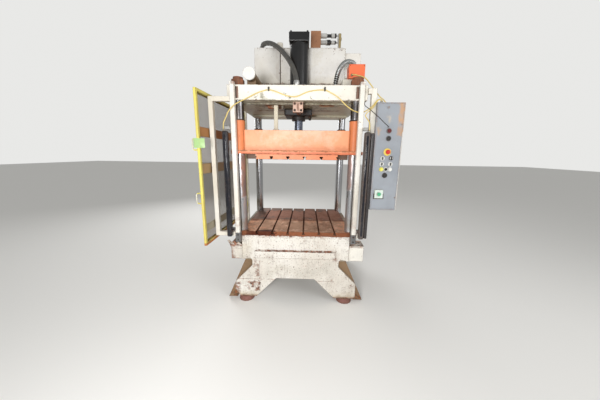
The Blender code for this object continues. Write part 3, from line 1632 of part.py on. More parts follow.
def cables():
    tube("cable_curtain_left", routed(CURTAIN_CABLE_ROUTE, CABLE_SPACING), CABLE_RADIUS, CABLE_YELLOW)
    tube("cable_junction", routed(JUNCTION_CABLE_ROUTE, CABLE_SPACING), CABLE_RADIUS, CABLE_YELLOW)
    tube("cable_curtain_right", routed(RIGHT_CABLE_ROUTE, CABLE_SPACING), CABLE_RADIUS, CABLE_YELLOW)
    tube("cable_thin", routed(THIN_CABLE_ROUTE, CABLE_SPACING), THIN_RADIUS, RUBBER)


# Power unit behind the crown: motor and pump on a shelf with two gussets
SHELF_LEFT = -0.420
SHELF_RIGHT = 0.320
SHELF_TOP = 2.060
SHELF_THICKNESS = 0.016
SHELF_GUSSET_DROP = 0.095
MOTOR_RADIUS = 0.112
MOTOR_Z_RISE = 0.130
MOTOR_SET_BACK = 0.150
MOTOR_Y = PRESS_DEPTH + MOTOR_SET_BACK
MOTOR_LEFT = -0.380
MOTOR_RIGHT = 0.020
FIN_COUNT = 24
FIN_PROUD = 0.010
FIN_WIDTH = 0.006
COWL_LENGTH = 0.070
MOTOR_FOOT_HALF = 0.090
BELL_LENGTH = 0.080
BELL_RADIUS = 0.070
PUMP_LENGTH = 0.110
PUMP_HALF = 0.055
SUCTION_RADIUS = 0.016
SUCTION_BEND = 0.060


def power_unit(carrier):
    shelf = box(
        "power_shelf",
        (SHELF_LEFT, SHELF_RIGHT),
        (PRESS_DEPTH - WELD, SHELF_REAR),
        (SHELF_TOP - SHELF_THICKNESS, SHELF_TOP),
    )
    join(carrier, shelf)
    for x in (SHELF_LEFT + SHELF_THICKNESS, SHELF_RIGHT - SHELF_THICKNESS * 2):
        high = SHELF_TOP - SHELF_THICKNESS / 2
        low = SHELF_TOP - SHELF_THICKNESS - SHELF_GUSSET_DROP
        near = PRESS_DEPTH - WELD / 2
        far = SHELF_REAR - SHELF_THICKNESS
        points = [(near, high), (far, high), (near + SHELF_THICKNESS, low), (near, low)]
        gusset = outline("shelf_gusset", [(-y, z) for y, z in points], 0, SHELF_THICKNESS / 2)
        gusset.location = (x, 0, 0)
        gusset.rotation_euler = (math.radians(90), 0, math.radians(-90))
        join(carrier, gusset)
    z = SHELF_TOP + MOTOR_Z_RISE
    motor = cylinder("motor", MOTOR_RADIUS, MOTOR_LEFT, MOTOR_RIGHT, (MOTOR_Y, z), BLUE_GREY, axis="X")
    fins = []
    for i in range(FIN_COUNT):
        angle = math.tau * i / FIN_COUNT
        fin = box(
            "fin",
            (MOTOR_LEFT + COWL_LENGTH, MOTOR_RIGHT - COWL_LENGTH / 2),
            (MOTOR_Y - FIN_WIDTH / 2, MOTOR_Y + FIN_WIDTH / 2),
            (z + MOTOR_RADIUS - FIN_PROUD, z + MOTOR_RADIUS + FIN_PROUD),
        )
        rise = MOTOR_RADIUS
        fin.location.y = MOTOR_Y - rise * math.sin(angle)
        fin.location.z = z + rise * math.cos(angle)
        fin.rotation_euler.x = angle
        fins.append(fin)
    join(motor, merged("fins", fins))
    cowl = cylinder(
        "cowl",
        MOTOR_RADIUS + FIN_PROUD,
        MOTOR_LEFT - GAP,
        MOTOR_LEFT + COWL_LENGTH - WELD,
        (MOTOR_Y, z),
        axis="X",
    )
    base = box(
        "motor_base",
        (MOTOR_LEFT + COWL_LENGTH + WELD, MOTOR_RIGHT - COWL_LENGTH / 2 - WELD),
        (MOTOR_Y - MOTOR_FOOT_HALF, MOTOR_Y + MOTOR_FOOT_HALF),
        (SHELF_TOP + GAP, z - MOTOR_RADIUS / 2),
    )
    join(motor, cowl, base)
    start = MOTOR_RIGHT + GAP
    pump = cylinder("pump", BELL_RADIUS, start, start + BELL_LENGTH, (MOTOR_Y, z), GREY_STEEL, axis="X")
    head = box(
        "pump_head",
        (start + BELL_LENGTH - WELD, start + BELL_LENGTH + PUMP_LENGTH),
        (MOTOR_Y - PUMP_HALF, MOTOR_Y + PUMP_HALF),
        (z - PUMP_HALF, z + PUMP_HALF),
    )
    join(pump, head)
    foot = box(
        "pump_foot",
        (start + BELL_LENGTH + WELD, start + BELL_LENGTH + PUMP_LENGTH - WELD),
        (MOTOR_Y - PUMP_HALF / 2, MOTOR_Y + PUMP_HALF / 2),
        (SHELF_TOP + GAP, z),
    )
    join(pump, foot)
    x = start + BELL_LENGTH + PUMP_LENGTH / 2
    top = TANK_LOW + SUCTION_BEND * 2
    bend = arc((MOTOR_Y - SUCTION_BEND, top - SUCTION_BEND), SUCTION_BEND, 0, 90, HANDLE_STEPS)
    points = [(x, MOTOR_Y, z + PUMP_HALF - WELD)]
    points += [(x, y, height) for y, height in bend]
    points += [(x, TANK_BACK + GAP, top)]
    join(pump, solid(tube("suction_pipe", points, SUCTION_RADIUS, None), None))


bed_plates()
bed_frame()
levelling_pads()
bolster()
columns()
crown_body = crown()
cylinder_set()
ram()
platen()
stop_bar(crown_body)
tank_body = reservoir()
manifold()
main_hose(crown_body, tank_body)
oil_cooler()
junction(crown_body)
guard_posts()
side_frames()
light_curtains()
guard_door()
hinge_post()
console()
controls()
cables()
power_unit(crown_body)
bpy.context.view_layer.update()
print("pieces", len([made for made in PARTS.objects if made.type in ("MESH", "CURVE")]))
print("origin", ORIGIN_X, ORIGIN_Y)
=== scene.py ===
# %% [markdown]
# # A hydraulic press in worn paint
# The press arrives as finished solids, one for each real piece. This lesson dresses them. It places
# the camera, builds four shared finishes as node groups, gives every solid its own coat, and adds
# the small pieces that are surfaces worked out with numpy.

# %% Load the press
import math

import bmesh
import bpy
import numpy as np
from mathutils import Matrix, Vector


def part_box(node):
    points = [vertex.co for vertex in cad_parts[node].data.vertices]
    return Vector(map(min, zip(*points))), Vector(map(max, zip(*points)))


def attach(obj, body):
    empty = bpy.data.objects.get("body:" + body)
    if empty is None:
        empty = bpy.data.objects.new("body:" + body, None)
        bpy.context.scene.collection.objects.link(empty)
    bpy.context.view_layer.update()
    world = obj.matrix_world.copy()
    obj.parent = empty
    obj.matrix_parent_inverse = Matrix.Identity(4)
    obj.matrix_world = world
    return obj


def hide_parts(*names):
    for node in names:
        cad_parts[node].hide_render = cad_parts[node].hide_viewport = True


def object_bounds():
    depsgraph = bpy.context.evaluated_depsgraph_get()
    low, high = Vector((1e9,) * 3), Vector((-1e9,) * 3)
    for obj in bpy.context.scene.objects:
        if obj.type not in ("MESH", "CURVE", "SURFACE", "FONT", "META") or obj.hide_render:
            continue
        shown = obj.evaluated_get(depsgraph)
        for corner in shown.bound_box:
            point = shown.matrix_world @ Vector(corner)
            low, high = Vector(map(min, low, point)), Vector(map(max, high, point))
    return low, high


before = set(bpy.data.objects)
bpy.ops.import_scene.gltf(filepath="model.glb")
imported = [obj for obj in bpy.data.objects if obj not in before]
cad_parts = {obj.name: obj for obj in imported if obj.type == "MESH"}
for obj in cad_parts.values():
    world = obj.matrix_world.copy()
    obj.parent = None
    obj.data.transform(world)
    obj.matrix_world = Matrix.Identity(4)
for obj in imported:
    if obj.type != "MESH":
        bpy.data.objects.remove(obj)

cad_box = [list(corner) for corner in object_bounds()]
print("solids:", len(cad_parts), "box:", cad_box)

# %% [markdown]
# ## Where things are
# The press was measured from the middle of its crown's front face, at floor level. The packed
# model is centred on its whole box instead, so every measure below is moved by the same step,
# which is read from the crown itself.

# %% The step from the crown's front to the model
crown_low, crown_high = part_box("crown")
HOME = np.array([(crown_low.x + crown_high.x) / 2, crown_low.y, 0.0])


def home(*measures):
    """A point in metres from the crown's front middle: the model's point is that plus HOME."""
    return np.array(measures) + HOME


def centre_of(name):
    """The middle of a solid's box: half the sum of its two corners."""
    low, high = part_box(name)
    return np.array((low + high) / 2)


print("crown front middle:", HOME.round(4))

# %% [markdown]
# ## The camera
# The photograph was taken from a little above the middle of the press with a very wide lens, tipped
# down by nearly twelve degrees. The numbers come from lining the solids up with the picture, so
# the camera is written as the three directions it sees as right, up and back.

# %% Camera at the photograph's angle
CAMERA_TURN = Matrix(
    (
        (0.9994964, -0.0187087, 0.0256289),
        (0.0288787, 0.2016529, -0.9790312),
        (0.0131482, 0.9792784, 0.2020916),
    )
)
camera_data = bpy.data.cameras.new("camera")
camera_data.lens = 13.734
camera_data.sensor_width = 36
camera_data.sensor_fit = "HORIZONTAL"
camera_data.clip_end = 60
camera = bpy.data.objects.new("camera", camera_data)
bpy.context.scene.collection.objects.link(camera)
camera.matrix_world = Matrix.Translation(home(0.09535, -2.12614, 1.51081)) @ CAMERA_TURN.to_4x4()
bpy.context.scene.camera = camera
print("lens:", camera_data.lens, "mm, height:", round(camera.location.z, 3), "m")

# %% [markdown]
# ## Colours
# A finish is written as the colour a screen would show, from 0 to 255. Shaders work with light, so
# each channel is turned into linear light by the usual curve.


# %% Screen colours as light
def tone(red, green, blue):
    """A screen colour as linear light: a channel c of 0 to 1 is c / 12.92 near black, and above
    that ((c + 0.055) / 1.055) to the power 2.4."""
    share = np.array([red, green, blue]) / 255
    light = np.where(share <= 0.04045, share / 12.92, ((share + 0.055) / 1.055) ** 2.4)
    return (*light.tolist(), 1.0)


RUST_DARK = tone(74, 42, 28)
RUST_LIGHT = tone(158, 92, 56)
# Brown for grime, also laid in creases as painted shade.
GRIME_AND_SHADE = tone(104, 84, 64)
PRIMER = (120, 98, 78)
DUST = tone(136, 124, 104)
print("rust, as light:", [round(c, 3) for c in RUST_LIGHT])

# %% [markdown]
# ## The stage and its light
# The floor is plain and pale. The photograph was lit by a flash close to the camera, so the main
# lamp stands a little to the camera's left and reaches in under the crown. Two larger, weaker
# lamps and a pale sky keep the sides and the back readable.


# %% Floor, sky and lamps
def node(tree, kind, links=None, **options):
    """Adds one shader node, sets its options, and links or sets its inputs by name or number."""
    made = tree.nodes.new(kind)
    for option, value in options.items():
        setattr(made, option, value)
    for key, value in (links or {}).items():
        value = getattr(value, "socket", value)
        if isinstance(value, bpy.types.NodeSocket):
            tree.links.new(value, made.inputs[key])
        else:
            made.inputs[key].default_value = value
    return made


FLOOR_REACH = 30.0
floor_mesh = bpy.data.meshes.new("floor")
floor_corners = FLOOR_REACH * np.array([[-1, -1, 0], [1, -1, 0], [1, 1, 0], [-1, 1, 0]])
floor_mesh.from_pydata(floor_corners.tolist(), [], [(0, 1, 2, 3)])
floor = bpy.data.objects.new("floor", floor_mesh)
bpy.context.scene.collection.objects.link(floor)
floor_finish = bpy.data.materials.new("pale floor")
floor_finish.use_nodes = True
floor_shader = floor_finish.node_tree.nodes["Principled BSDF"]
floor_shader.inputs["Base Color"].default_value = tone(240, 239, 236)
floor_shader.inputs["Roughness"].default_value = 0.75
floor_mesh.materials.append(floor_finish)

SKY_LIGHT = 0.52
SKY_SEEN = 0.95
world = bpy.data.worlds.new("studio sky")
bpy.context.scene.world = world
world.use_nodes = True
sky = world.node_tree
sky.nodes.clear()
rays = node(sky, "ShaderNodeLightPath").outputs
either = {0: rays["Is Camera Ray"], 1: rays["Is Transmission Ray"]}
seen = node(sky, "ShaderNodeMath", either, operation="MAXIMUM")
levels = {"Value": seen.outputs[0], "To Min": SKY_LIGHT, "To Max": SKY_SEEN}
strength = node(sky, "ShaderNodeMapRange", levels).outputs["Result"]
glow = node(sky, "ShaderNodeBackground", {"Color": tone(238, 238, 236), "Strength": strength})
node(sky, "ShaderNodeOutputWorld", {"Surface": glow.outputs[0]})


def lamp(name, place, aim, size, power):
    """A square lamp at a place, turned so that its face looks at its aim."""
    data = bpy.data.lights.new(name, "AREA")
    data.size = size
    data.energy = power
    made = bpy.data.objects.new(name, data)
    bpy.context.scene.collection.objects.link(made)
    made.location = home(*place)
    made.rotation_euler = (made.location - Vector(home(*aim))).to_track_quat("Z", "Y").to_euler()


lamp("flash", (-0.55, -3.0, 1.50), (0.0, 0.3, 1.30), 0.7, 66)
lamp("side fill", (3.6, -2.6, 2.6), (0.0, 0.5, 1.2), 2.4, 55)
lamp("rear fill", (-2.4, 4.2, 3.4), (0.0, 0.6, 1.2), 2.6, 90)
bpy.context.scene.view_settings.view_transform = "Standard"

# %% [markdown]
# ## Arithmetic with shader values
# A finish is arithmetic on noise. A signal wraps one socket, and the usual signs between signals
# add Math nodes, so the groups below read as sums.


# %% Signals and node helpers
class Signal:
    """The value that a socket gives. Sums, differences and products of values are Math nodes."""

    def __init__(self, tree, socket):
        self.tree, self.socket = tree, socket

    def calc(self, operation, other):
        """One Math node's result, from this value and another or a number."""
        return signal(self.tree, "ShaderNodeMath", {0: self, 1: other}, operation=operation)

    def __add__(self, other):
        return self.calc("ADD", other)

    def __sub__(self, other):
        return self.calc("SUBTRACT", other)

    def __mul__(self, other):
        return self.calc("MULTIPLY", other)

    def clamped(self):
        """The same value, kept within 0 and 1 by the Math node that gives it."""
        self.socket.node.use_clamp = True
        return self

    def highest(self, *others):
        """The greatest of this value and the others."""
        best = self
        for other in others:
            best = best.calc("MAXIMUM", other)
        return best


def signal(tree, kind, links=None, output=0, **options):
    """A new node's output, by name or number, as a signal."""
    return Signal(tree, node(tree, kind, links, **options).outputs[output])


def ramp(value, low, high):
    """A smooth step: 0 below low, 1 above high, and an S curve between them."""
    links = {"Value": value, "From Min": low, "From Max": high}
    smooth = {"interpolation_type": "SMOOTHSTEP"}
    return signal(value.tree, "ShaderNodeMapRange", links, "Result", **smooth)


def cloud(place, scale, detail=5.0, rough=0.6, output="Fac"):
    """Noise that varies over 1 / scale metres, with finer noise laid over it."""
    links = {"Vector": place, "Scale": scale, "Detail": detail, "Roughness": rough}
    return signal(place.tree, "ShaderNodeTexNoise", links, output)


def blend(mask, under, over):
    """Two colours: the one under shows where the mask is 0, and the one over where it is 1."""
    return signal(mask.tree, "ShaderNodeMix", {0: mask, 6: under, 7: over}, 2, data_type="RGBA")


def stretched(place, scale):
    """The same place with each axis scaled, which draws noise out along the axes left small."""
    return signal(place.tree, "ShaderNodeMapping", {"Vector": place, "Scale": scale}, "Vector")


def vector(operation, first, second, key=1):
    """One step of vector arithmetic; a scale's number is its input 3."""
    return signal(first.tree, "ShaderNodeVectorMath", {0: first, key: second}, operation=operation)


def crease(tree, reach):
    """1 in the open, falling towards 0 where other surfaces stand closer than a reach."""
    return signal(tree, "ShaderNodeAmbientOcclusion", {"Distance": reach}, "AO", samples=4)


def rounded(tree, radius):
    """The surface's normal with its edges softened over a radius."""
    return signal(tree, "ShaderNodeBevel", {"Radius": radius}, "Normal", samples=4)


def new_group(name, inputs, outputs):
    """An empty node group with named sockets. Gives its tree, a signal for each input by name, a
    signal for the object's own coordinates, and a function that links a signal to an output."""
    tree = bpy.data.node_groups.new(name, "ShaderNodeTree")
    add = tree.interface.new_socket
    for socket_name, (kind, value) in inputs.items():
        made = add(socket_name, in_out="INPUT", socket_type="NodeSocket" + kind)
        made.default_value = value
    for socket_name, kind in outputs.items():
        add(socket_name, in_out="OUTPUT", socket_type="NodeSocket" + kind)
    start, end = tree.nodes.new("NodeGroupInput"), tree.nodes.new("NodeGroupOutput")
    given = {socket_name: Signal(tree, start.outputs[socket_name]) for socket_name in inputs}

    def give(socket_name, value):
        tree.links.new(value.socket, end.inputs[socket_name])

    return tree, given, signal(tree, "ShaderNodeTexCoord", output="Object"), give


print("signal helpers ready")

# %% [markdown]
# ## Zones with a ragged edge
# Much of what makes this press itself is in one place only, such as a peeled wing or a stained
# band. A box in space picks such a place out, and noise added to the position frays its edge. A
# painted mask would need an image, and a box of six numbers does not.

# %% The ragged zone group
ZONE, given, place, give = new_group(
    "ragged zone",
    {
        "Low": ("Vector", (0, 0, 0)),
        "High": ("Vector", (0, 0, 0)),
        "Edge": ("Float", 0.01),
        "Ragged": ("Float", 0.05),
        "Grain": ("Float", 14.0),
    },
    {"Mask": "Float"},
)
shift = vector("SUBTRACT", cloud(place, given["Grain"], 6.0, 0.65, "Color"), (0.5, 0.5, 0.5))
moved = vector("ADD", place, vector("SCALE", shift, given["Ragged"], key=3))
above_low = vector("SUBTRACT", moved, given["Low"])
below_high = vector("SUBTRACT", given["High"], moved)
depths = node(ZONE, "ShaderNodeSeparateXYZ", {0: vector("MINIMUM", above_low, below_high)})
depth_x, depth_y, depth_z = (Signal(ZONE, socket) for socket in depths.outputs)
depth = depth_x.calc("MINIMUM", depth_y.calc("MINIMUM", depth_z))
give("Mask", depth.calc("DIVIDE", given["Edge"]).clamped())

FAR = 9.0
USUAL_FRAY = [0.01, 0.0, 14.0]


def zone(tree, x=None, y=None, z=None, fray=()):
    """The mask of a box given by its ranges from the crown's front middle; a range left out has no
    end. Fray is up to three numbers: the width over which the mask rises inside the box's faces,
    how far noise shifts the faces, and how fine that noise is."""
    spans = [span or (-FAR, FAR) for span in (x, y, z)]
    made = node(tree, "ShaderNodeGroup", node_tree=ZONE)
    made.inputs["Low"].default_value = home(*(span[0] for span in spans))
    made.inputs["High"].default_value = home(*(span[1] for span in spans))
    for key, value in zip(("Edge", "Ragged", "Grain"), [*fray, *USUAL_FRAY[len(fray) :]]):
        made.inputs[key].default_value = value
    return Signal(tree, made.outputs["Mask"])


print("group:", ZONE.name, "nodes:", len(ZONE.nodes))

# %% [markdown]
# ## Old machine paint
# The cream, orange, yellow and blue-grey coats have aged alike. The colour drifts, grime runs down
# and smudges, corners and creases are darkened as grime and painted shade, the paint is knocked off
# along edges, and rust spots open. A bevel shader normal differs from the true one only near an
# edge, which finds edges on any solid.

# %% The worn paint group
PAINT_LEVELS = ("Wear", "Spots", "Streaks", "Grime and shade", "Gloss")
PAINT, given, place, give = new_group(
    "worn paint",
    {
        "Paint": ("Color", tone(225, 219, 204)),
        "Faded": ("Color", tone(205, 198, 180)),
        "Chip": ("Color", tone(*PRIMER)),
        **{level: ("Float", 0.3) for level in PAINT_LEVELS},
        "Placed rust": ("Float", 0.0),
    },
    {"Color": "Color", "Roughness": "Float", "Normal": "Vector"},
)
wear, spots_level, streaks, grime_and_shade_level, gloss = (given[level] for level in PAINT_LEVELS)
broad = cloud(place, 2.1, 5.0, 0.55)
middle = cloud(place, 26.0, 7.0, 0.68)
patchy = cloud(place, 9.0, 9.0, 0.74)
specks = cloud(place, 75.0, 3.0, 0.7)
runs = cloud(stretched(place, (80, 80, 5.0)), 1.0, 6.0, 0.7)
soft_normal = rounded(PAINT, 0.006)
true_normal = signal(PAINT, "ShaderNodeNewGeometry", output="True Normal")
normals = {0: soft_normal, 1: true_normal}
same_way = signal(PAINT, "ShaderNodeVectorMath", normals, "Value", operation="DOT_PRODUCT")

chips = ramp(ramp(same_way, 0.99, 0.84) * wear * 0.4 + middle, 0.66, 0.71)
big_spots = ((patchy - (spots_level * -0.17 + 0.76)) * 26.0).clamped()
small_spots = ((specks - (spots_level * -0.16 + 0.73)) * 30.0).clamped()
placed = given["Placed rust"] * ramp(middle, 0.38, 0.56)
rusty = big_spots.highest(small_spots, placed, chips * ramp(patchy, 0.46, 0.58))
running = ramp(runs, 0.50, 0.80) * streaks * ramp(patchy, 0.34, 0.62)
# Darker brown towards creases, from an ambient occlusion node: partly grime, partly painted shade.
crease_grime_and_shade = ramp(crease(PAINT, 0.09), 0.85, 0.25) * (middle * 0.8 + 0.25)
smudges_and_crease_shade = ramp(patchy, 0.48, 0.78) * 0.45 + crease_grime_and_shade
grime_and_crease_shade = (smudges_and_crease_shade * grime_and_shade_level + running).clamped()

colour = blend(ramp(broad, 0.36, 0.66), given["Paint"], given["Faded"])
colour = blend(grime_and_crease_shade, colour, GRIME_AND_SHADE)
colour = blend(chips * 0.85, colour, given["Chip"])
rust_tone = blend(ramp(cloud(place, 48.0), 0.38, 0.66), RUST_DARK, RUST_LIGHT)
give("Color", blend(rusty * 0.92, colour, rust_tone))
dull = rusty.highest(grime_and_crease_shade * 0.6)
give("Roughness", (dull * 0.4 + (middle * 0.16 + gloss)).clamped())

crust = rusty * cloud(place, 150.0, 4.0, 0.7)
height = cloud(place, 230.0, 2.0) * 0.18 + broad * 1.2 + chips * -0.5 + crust * 1.1
bump = {"Height": height, "Strength": 0.7, "Distance": 0.0012, "Normal": soft_normal}
give("Normal", signal(PAINT, "ShaderNodeBump", bump))
print("group:", PAINT.name, "nodes:", len(PAINT.nodes))

# %% [markdown]
# ## Bare metal
# The bolster, the columns and the fittings have no paint. Bare steel is bright where it rubs and
# brown where it stands wet, so one group holds both states and a level says how far rust has gone.

# %% The bare metal group
METAL, given, place, give = new_group(
    "bare metal",
    {
        "Metal": ("Color", tone(150, 150, 148)),
        "Stain": ("Color", tone(112, 84, 62)),
        "Rusting": ("Float", 0.3),
        "Placed rust": ("Float", 0.0),
        "Polish": ("Float", 0.3),
        "Grain": ("Vector", (1, 1, 1)),
    },
    {"Color": "Color", "Roughness": "Float", "Metallic": "Float", "Normal": "Vector"},
)
drawn = stretched(place, given["Grain"])
wide = cloud(drawn, 3.2, 6.0)
mottle = cloud(drawn, 17.0, 8.0, 0.72)
fine = cloud(drawn, 120.0, 4.0, 0.65)
damp = ramp(crease(METAL, 0.05), 0.8, 0.2)
level = wide * 0.5 + mottle * 0.5 + given["Rusting"] * 0.5 + damp * 0.12
rusted = ramp(level, 0.62, 0.78).highest(given["Placed rust"])
stained = ramp(level, 0.50, 0.70)
colour = blend(stained * 0.6, given["Metal"], given["Stain"])
rust_tone = blend(ramp(mottle, 0.36, 0.64), RUST_DARK, RUST_LIGHT)
rust_tone = blend(ramp(fine, 0.4, 0.7) * 0.5, rust_tone, given["Stain"])
give("Color", blend(rusted * 0.95, colour, rust_tone))
dull = rusted.highest(stained * 0.4)
give("Roughness", (dull * 0.5 + (fine * 0.12 + given["Polish"])).clamped())
give("Metallic", (rusted * -1.0 + 1.0).clamped())
height = rusted * mottle + fine * given["Polish"] * 0.35
bump = {"Height": height, "Strength": 0.6, "Distance": 0.0012, "Normal": rounded(METAL, 0.0015)}
give("Normal", signal(METAL, "ShaderNodeBump", bump))
print("group:", METAL.name, "nodes:", len(METAL.nodes))

# %% [markdown]
# ## Moulded plastic and rubber
# Buttons, cable jackets and hoses are one colour right through, so wear shows only as dust in the
# corners and a duller, slightly pebbled skin.

# %% The moulded group
MOULD, given, place, give = new_group(
    "moulded",
    {
        "Body": ("Color", tone(40, 40, 40)),
        "Dust": ("Float", 0.3),
        "Gloss": ("Float", 0.4),
        "Grain": ("Float", 260.0),
    },
    {"Color": "Color", "Roughness": "Float", "Normal": "Vector"},
)
handled = cloud(place, 22.0, 6.0, 0.7)
dusty = ramp(crease(MOULD, 0.02), 0.9, 0.3) * 0.5 + ramp(handled, 0.45, 0.7) * 0.6
dusty = (dusty * given["Dust"]).clamped()
give("Color", blend(dusty, given["Body"], DUST))
give("Roughness", (dusty * 0.5 + given["Gloss"]).clamped())
pebble = cloud(place, given["Grain"], 3.0)
bump = {"Height": pebble, "Strength": 0.35, "Distance": 0.0004}
give("Normal", signal(MOULD, "ShaderNodeBump", bump))
print("group:", MOULD.name, "nodes:", len(MOULD.nodes))

# %% [markdown]
# ## From group to coat
# Each maker below turns one group into a finished material and puts it on the solids named. Tints
# recolour a zone before it ages, such as the grey shoe of a white post, and rust zones add
# corrosion where the photograph has it.


# %% Makers of finishes
def tint(red, green, blue, **where):
    """A zone where the coat has another colour."""
    return tone(red, green, blue), where


def rust(share, **where):
    """A zone where rust is laid on, with a strength from 0 to 1."""
    return share, where


FADED_SHARE = 0.82


def darker(colour):
    """The same colour with its light scaled by the share that old paint keeps."""
    return (*(channel * FADED_SHARE for channel in colour[:3]), 1.0)


def by_zone(base, tints):
    """What a colour input is given: the base, with each tint laid over it in its zone."""

    def colour_in(tree):
        colour = node(tree, "ShaderNodeRGB").outputs[0]
        colour.default_value = base
        for colour_here, where in tints:
            colour = blend(zone(tree, **where), colour, colour_here)
        return colour

    return colour_in if tints else base


def strongest(marks):
    """What a rust input is given: the strongest of the marks at each point."""

    def mask_in(tree):
        first, *others = [zone(tree, **where) * share for share, where in marks]
        return first.highest(*others)

    return mask_in if marks else 0.0


def coat(name, group, solids, links):
    """A material whose shader takes every output of the group that has a socket of that name. It
    goes into every slot of the solids, which are named in one string."""
    made = bpy.data.materials.new(name)
    made.use_nodes = True
    tree = made.node_tree
    shader = tree.nodes["Principled BSDF"]
    effect = node(tree, "ShaderNodeGroup", node_tree=group)
    for output in effect.outputs:
        socket = {"Color": "Base Color"}.get(output.name, output.name)
        tree.links.new(output, shader.inputs[socket])
    for key, value in links.items():
        if callable(value):
            tree.links.new(value(tree).socket, effect.inputs[key])
        else:
            effect.inputs[key].default_value = value
    for solid in solids.split():
        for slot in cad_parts[solid].material_slots:
            slot.material = made
    print(name, "->", solids or "new pieces")
    return made


def parted(zones):
    """Zones as two lists: tints, which start with a colour, and rust, which starts with a share."""
    tints = [entry for entry in zones if isinstance(entry[0], tuple)]
    return tints, [entry for entry in zones if isinstance(entry[0], float)]


def painted(name, paint, faded, levels, solids="", zones=(), chip=PRIMER):
    """A coat of old paint. Its levels are wear, spots, streaks, grime with painted crease shade,
    and gloss. The faded colour is the paint at four fifths of its light where none is given."""
    tints, marks = parted(zones)
    faded = tone(*faded) if faded else darker(tone(*paint))
    links = {"Paint": by_zone(tone(*paint), tints), "Placed rust": strongest(marks)}
    links["Faded"] = by_zone(faded, [(darker(colour), where) for colour, where in tints])
    links["Chip"] = tone(*chip)
    return coat(name, PAINT, solids, {**links, **dict(zip(PAINT_LEVELS, levels))})


def steel(name, metal, stain, rusting, polish, solids="", zones=(), grain=(1, 1, 1)):
    """Bare metal, drawn out along the axes whose grain is small."""
    tints, marks = parted(zones)
    links = {"Metal": by_zone(tone(*metal), tints), "Stain": tone(*stain), "Rusting": rusting}
    links.update({"Placed rust": strongest(marks), "Polish": polish, "Grain": grain})
    return coat(name, METAL, solids, links)


def moulded(name, body, dust, gloss, solids="", zones=(), grain=260.0):
    """Plastic or rubber of one colour, or of one colour by zone."""
    links = {"Body": by_zone(tone(*body), zones), "Dust": dust, "Gloss": gloss, "Grain": grain}
    return coat(name, MOULD, solids, links)


print("makers ready: painted, steel, moulded")

# %% [markdown]
# ## The bed
# The cream bed has lived a hard life. Paint has peeled from its left wing, rust follows the top of
# the raised bar and the welds of the feet, and the leg plates inside are coloured tan.

# %% Bed, bolster and pads
bed_zones = [
    tint(178, 158, 142, x=(-0.63, -0.5), z=(0.44, 0.6), fray=[0.03, 0.22, 13]),
    tint(214, 206, 192, x=(-0.64, -0.4), z=(0.4, 0.69), fray=[0.1, 0.3]),
    tint(214, 208, 196, x=(-0.36, 0.4), z=(0.26, 0.44), fray=[0.1, 0.4, 5]),
    tint(212, 200, 178, z=(0.0, 0.12), fray=[0.08, 0.12]),
    tint(176, 156, 128, z=(0.0, 0.075), fray=[0.04, 0.08]),
    rust(1.0, z=(0.699, 0.72), fray=[0.004, 0.03, 30]),
    rust(0.9, x=(0.43, 0.5), z=(0.42, 0.47), fray=[0.01, 0.09, 18]),
    rust(1.0, x=(-0.41, 0.41), z=(0.545, 0.563), fray=[0.003, 0.012, 20]),
    # A dark line right under the raised bar's lower edge: rust spots and painted shadow of the bar.
    rust(0.6, x=(-0.42, 0.4), z=(0.468, 0.478), fray=[0.004, 0.018, 20]),
    rust(0.9, x=(-0.62, -0.58), z=(0.45, 0.62), fray=[0.02, 0.16, 18]),
    rust(0.8, x=(-0.42, -0.35), z=(0.25, 0.46), fray=[0.02, 0.13, 13]),
    rust(1.0, x=(-0.43, -0.35), z=(0.1, 0.17), fray=[0.015, 0.1, 12]),
    rust(1.0, x=(-0.6, -0.2), z=(0.232, 0.24), fray=[0.003, 0.016, 24]),
    rust(1.0, x=(-0.5, -0.36), z=(0.13, 0.22), fray=[0.01, 0.16, 24]),
    rust(0.8, x=(-0.52, 0.5), z=(0.684, 0.7), fray=[0.01, 0.07, 46]),
    rust(0.7, x=(-0.42, 0.4), z=(0.5, 0.506), fray=[0.01, 0.06, 46]),
    rust(0.9, x=(0.2, 0.4), z=(0.226, 0.233), fray=[0.003, 0.014, 24]),
    rust(0.9, x=(-0.64, -0.555), z=(0.04, 0.2), fray=[0.02, 0.09]),
    rust(0.7, z=(0.03, 0.062), fray=[0.01, 0.05]),
    rust(0.7, x=(0.36, 0.42), z=(0.44, 0.5), fray=[0.02, 0.06]),
]
BED_PLATES = "bed_front_plate bed_rear_plate"
bed_paint = painted(
    "bed paint", (231, 227, 219), (214, 207, 196), (1.0, 0.76, 0.62, 0.75, 0.5), BED_PLATES,
    bed_zones,
)
box_zones = [
    tint(142, 114, 84, x=(-0.8, 0.8), z=(0.0, 0.444), fray=[0.004]),
    tint(238, 234, 224, x=(0.53, 0.9), z=(0.445, 0.62), fray=[0.003]),
    tint(222, 215, 204, x=(-0.9, -0.53), z=(0.445, 0.62), fray=[0.003]),
    tint(156, 130, 116, x=(-0.9, -0.62), z=(0.4, 0.59), fray=[0.02, 0.13, 13]),
    tint(188, 172, 162, x=(-0.9, -0.55), y=(-0.2, 0.06), z=(0.5, 0.7), fray=[0.07, 0.3, 22]),
    rust(0.9, x=(-0.75, -0.53), z=(0.582, 0.64), fray=[0.006, 0.06]),
    rust(0.8, x=(-0.75, -0.55), z=(0.44, 0.462), fray=[0.01, 0.05]),
    rust(0.7, x=(0.53, 0.75), z=(0.586, 0.62), fray=[0.004, 0.03]),
    rust(0.8, z=(0.0, 0.1), fray=[0.03, 0.09]),
    rust(0.7, x=(0.5, 0.75), z=(0.7, 0.73), fray=[0.004, 0.03]),
]
box_paint = painted(
    "bed box paint", (198, 190, 172), (160, 148, 126), (0.9, 0.45, 0.35, 0.9, 0.55),
    "bed_frame", box_zones,
)
